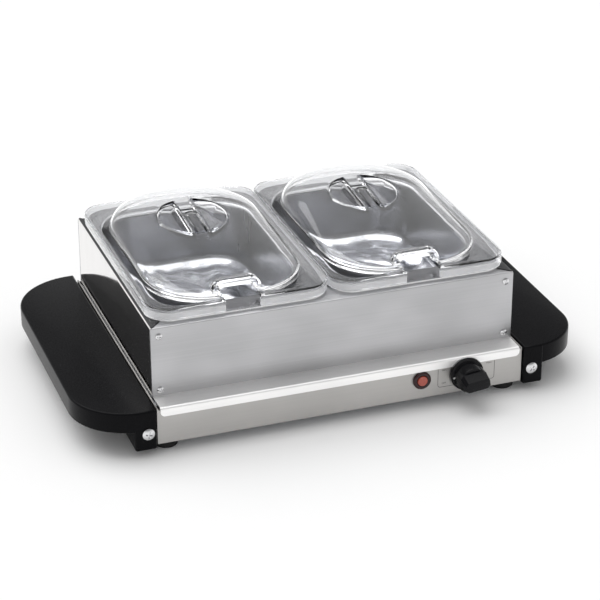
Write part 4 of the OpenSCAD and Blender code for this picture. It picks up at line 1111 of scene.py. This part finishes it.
bezel_low, bezel_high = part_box("lamp_bezel")
lamp_axis = ((bezel_low.x + bezel_high.x) / 2, 0, (bezel_low.z + bezel_high.z) / 2)
panel_y = bezel_low.y + 3 * MM
dark_red = grained_finish("plastic_dark_red", (0.016, 0.002, 0.003), (0.026, 0.003, 0.004),
                          0.0, 0.2, 1600.0, 0.4)
bezel = turned(
    "lamp_bezel_moulded",
    profile(bezel_high.y, (6.2, 0))
    + profile(panel_y, (6.2, 0), (8.9, 0), (9.0, 1.6), (8.7, 2.3), (7.9, 2.85), (6.9, 3.0),
              (5.9, 2.9), (5.3, 2.4), (5.2, 1.4))
    + profile(bezel_high.y, (5.2, 1.2)), dark_red, lamp_axis, 72)
fit(bezel, "base", "lamp_bezel", "lamp_bezel")


def lens_finish():
    """Moulded red lens: ribbed inside, so its colour changes over its face."""
    material, shader, paint = new_finish("plastic_red_lens", (0.42, 0.05, 0.025), 0.0, 0.12)
    ribs = stretched_noise(paint, (500.0, 60.0, 500.0))
    link(ribs.mix((0.30, 0.025, 0.012), (0.52, 0.09, 0.05)), shader, "Base Color")
    link(bumped(paint, ribs, 0.3, 0.0003), shader, "Normal")
    shader.inputs["Coat Weight"].default_value = 0.6
    shader.inputs["Coat Roughness"].default_value = 0.05
    return material


red_lens = lens_finish()
lens_low, lens_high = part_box("lamp_lens")
lens = turned(
    "lamp_lens_moulded",
    profile(lens_high.y, (5.0, 0))
    + profile(lens_low.y, (5.0, -0.8), (4.7, -0.35), (4.0, -0.1), (2.4, 0)), red_lens, lamp_axis, 56)
fit(lens, "base", "lamp_lens", "lamp_lens")


# ---------------------------------------------------------------- Printed scale
# A thin dark line frames the knob on the panel, with its lower corners rounded, and
# three small words stand inside it. They are printed straight on the steel.
ink = grained_finish("ink_dark", (0.03, 0.03, 0.035), (0.06, 0.06, 0.065), roughness=0.6)
ink_y = panel_y - 0.03 * MM
line_w = 0.45 * MM
letter_h = 2.6 * MM
letters_t = 0.01 * MM
scale_left = knob_axis.x - 29 * MM
scale_right = knob_axis.x + 30 * MM
scale_bottom = 17.7 * MM
scale_top = plate_low.z - 0.3 * MM
scale_r = 3 * MM


def scale_line(inset):
    """The printed line's edge, from its top left down and round to its top right."""
    path = [(scale_left + inset, scale_top)]
    path += bend((scale_left + scale_r, scale_bottom + scale_r), scale_r - inset, 180, 270)
    path += bend((scale_right - scale_r, scale_bottom + scale_r), scale_r - inset, 270, 360)
    return path + [(scale_right - inset, scale_top)]


scale_points = [(x, ink_y, z) for inset in (0.0, line_w) for x, z in scale_line(inset)]
count = len(scale_line(0))
scale = new_piece("printed_scale", scale_points,
                  [(j, count + j, count + j + 1, j + 1) for j in range(count - 1)], ink)
thicken(scale, 0.025 * MM)
fit(scale, "base", "dark_trim")

for word, x, z in (("MIN", 101.5, 34.8), ("MAX", 148.0, 34.8), ("OFF", 101.5, 21.0)):
    letters = bpy.data.curves.new(word, "FONT")
    letters.body = word
    letters.size = letter_h
    letters.align_x = "CENTER"
    letters.extrude = letters_t
    holder = placed(word, letters)
    depsgraph = bpy.context.evaluated_depsgraph_get()
    mesh = bpy.data.meshes.new_from_object(holder.evaluated_get(depsgraph))
    bpy.data.objects.remove(holder)
    mesh.transform(Matrix.Translation((x * MM, ink_y + letters_t, z * MM))
                   @ Matrix.Rotation(math.radians(90), 4, "X"))
    mesh.materials.clear()
    mesh.materials.append(ink)
    fit(placed("printed_" + word.lower(), mesh), "base", "dark_trim")


# ---------------------------------------------------------------- Inside the base
# Plated steel parts, the heating element, its shield and the ceramic, brass and
# insulated parts of the wiring. They show only from below or with the frame off.
sheath = grained_finish("element_sheath", (0.05, 0.055, 0.05), (0.11, 0.11, 0.10), 0.7, 0.5, 700.0, 0.4)
shield = grained_finish("aluminium_sheet", (0.72, 0.72, 0.73), (0.82, 0.82, 0.83), 1.0, 0.3, 400.0, 0.5)
ceramic = grained_finish("ceramic_white", (0.66, 0.64, 0.60), (0.78, 0.77, 0.73), 0.0, 0.45, 900.0, 0.5)
brass = grained_finish("brass_turned", (0.60, 0.42, 0.16), (0.74, 0.55, 0.26), 1.0, 0.28, 700.0, 0.5)
silicone = grained_finish("silicone_white", (0.70, 0.70, 0.68), (0.80, 0.80, 0.78), 0.0, 0.5, 900.0, 0.4)
inner_parts = {
    zinc: ("bottom_plate", "foot_nuts", "stud_nuts", "plate_studs", "plate_rails", "cap_brackets",
           "lamp_clip", "fuse_clip", "element_straps", "thermostat_nut", "thermostat_shaft"),
    sheath: ("heating_element",),
    shield: ("heat_shield",),
    ceramic: ("thermal_fuse", "thermostat", "terminal_block"),
    brass: ("terminal_screws",),
    silicone: ("wiring",),
    red_lens: ("neon_lamp",),
    cap_black: ("cord_gland", "gland_nut"),
}
for material, nodes in inner_parts.items():
    for node in nodes:
        dress(node, material)
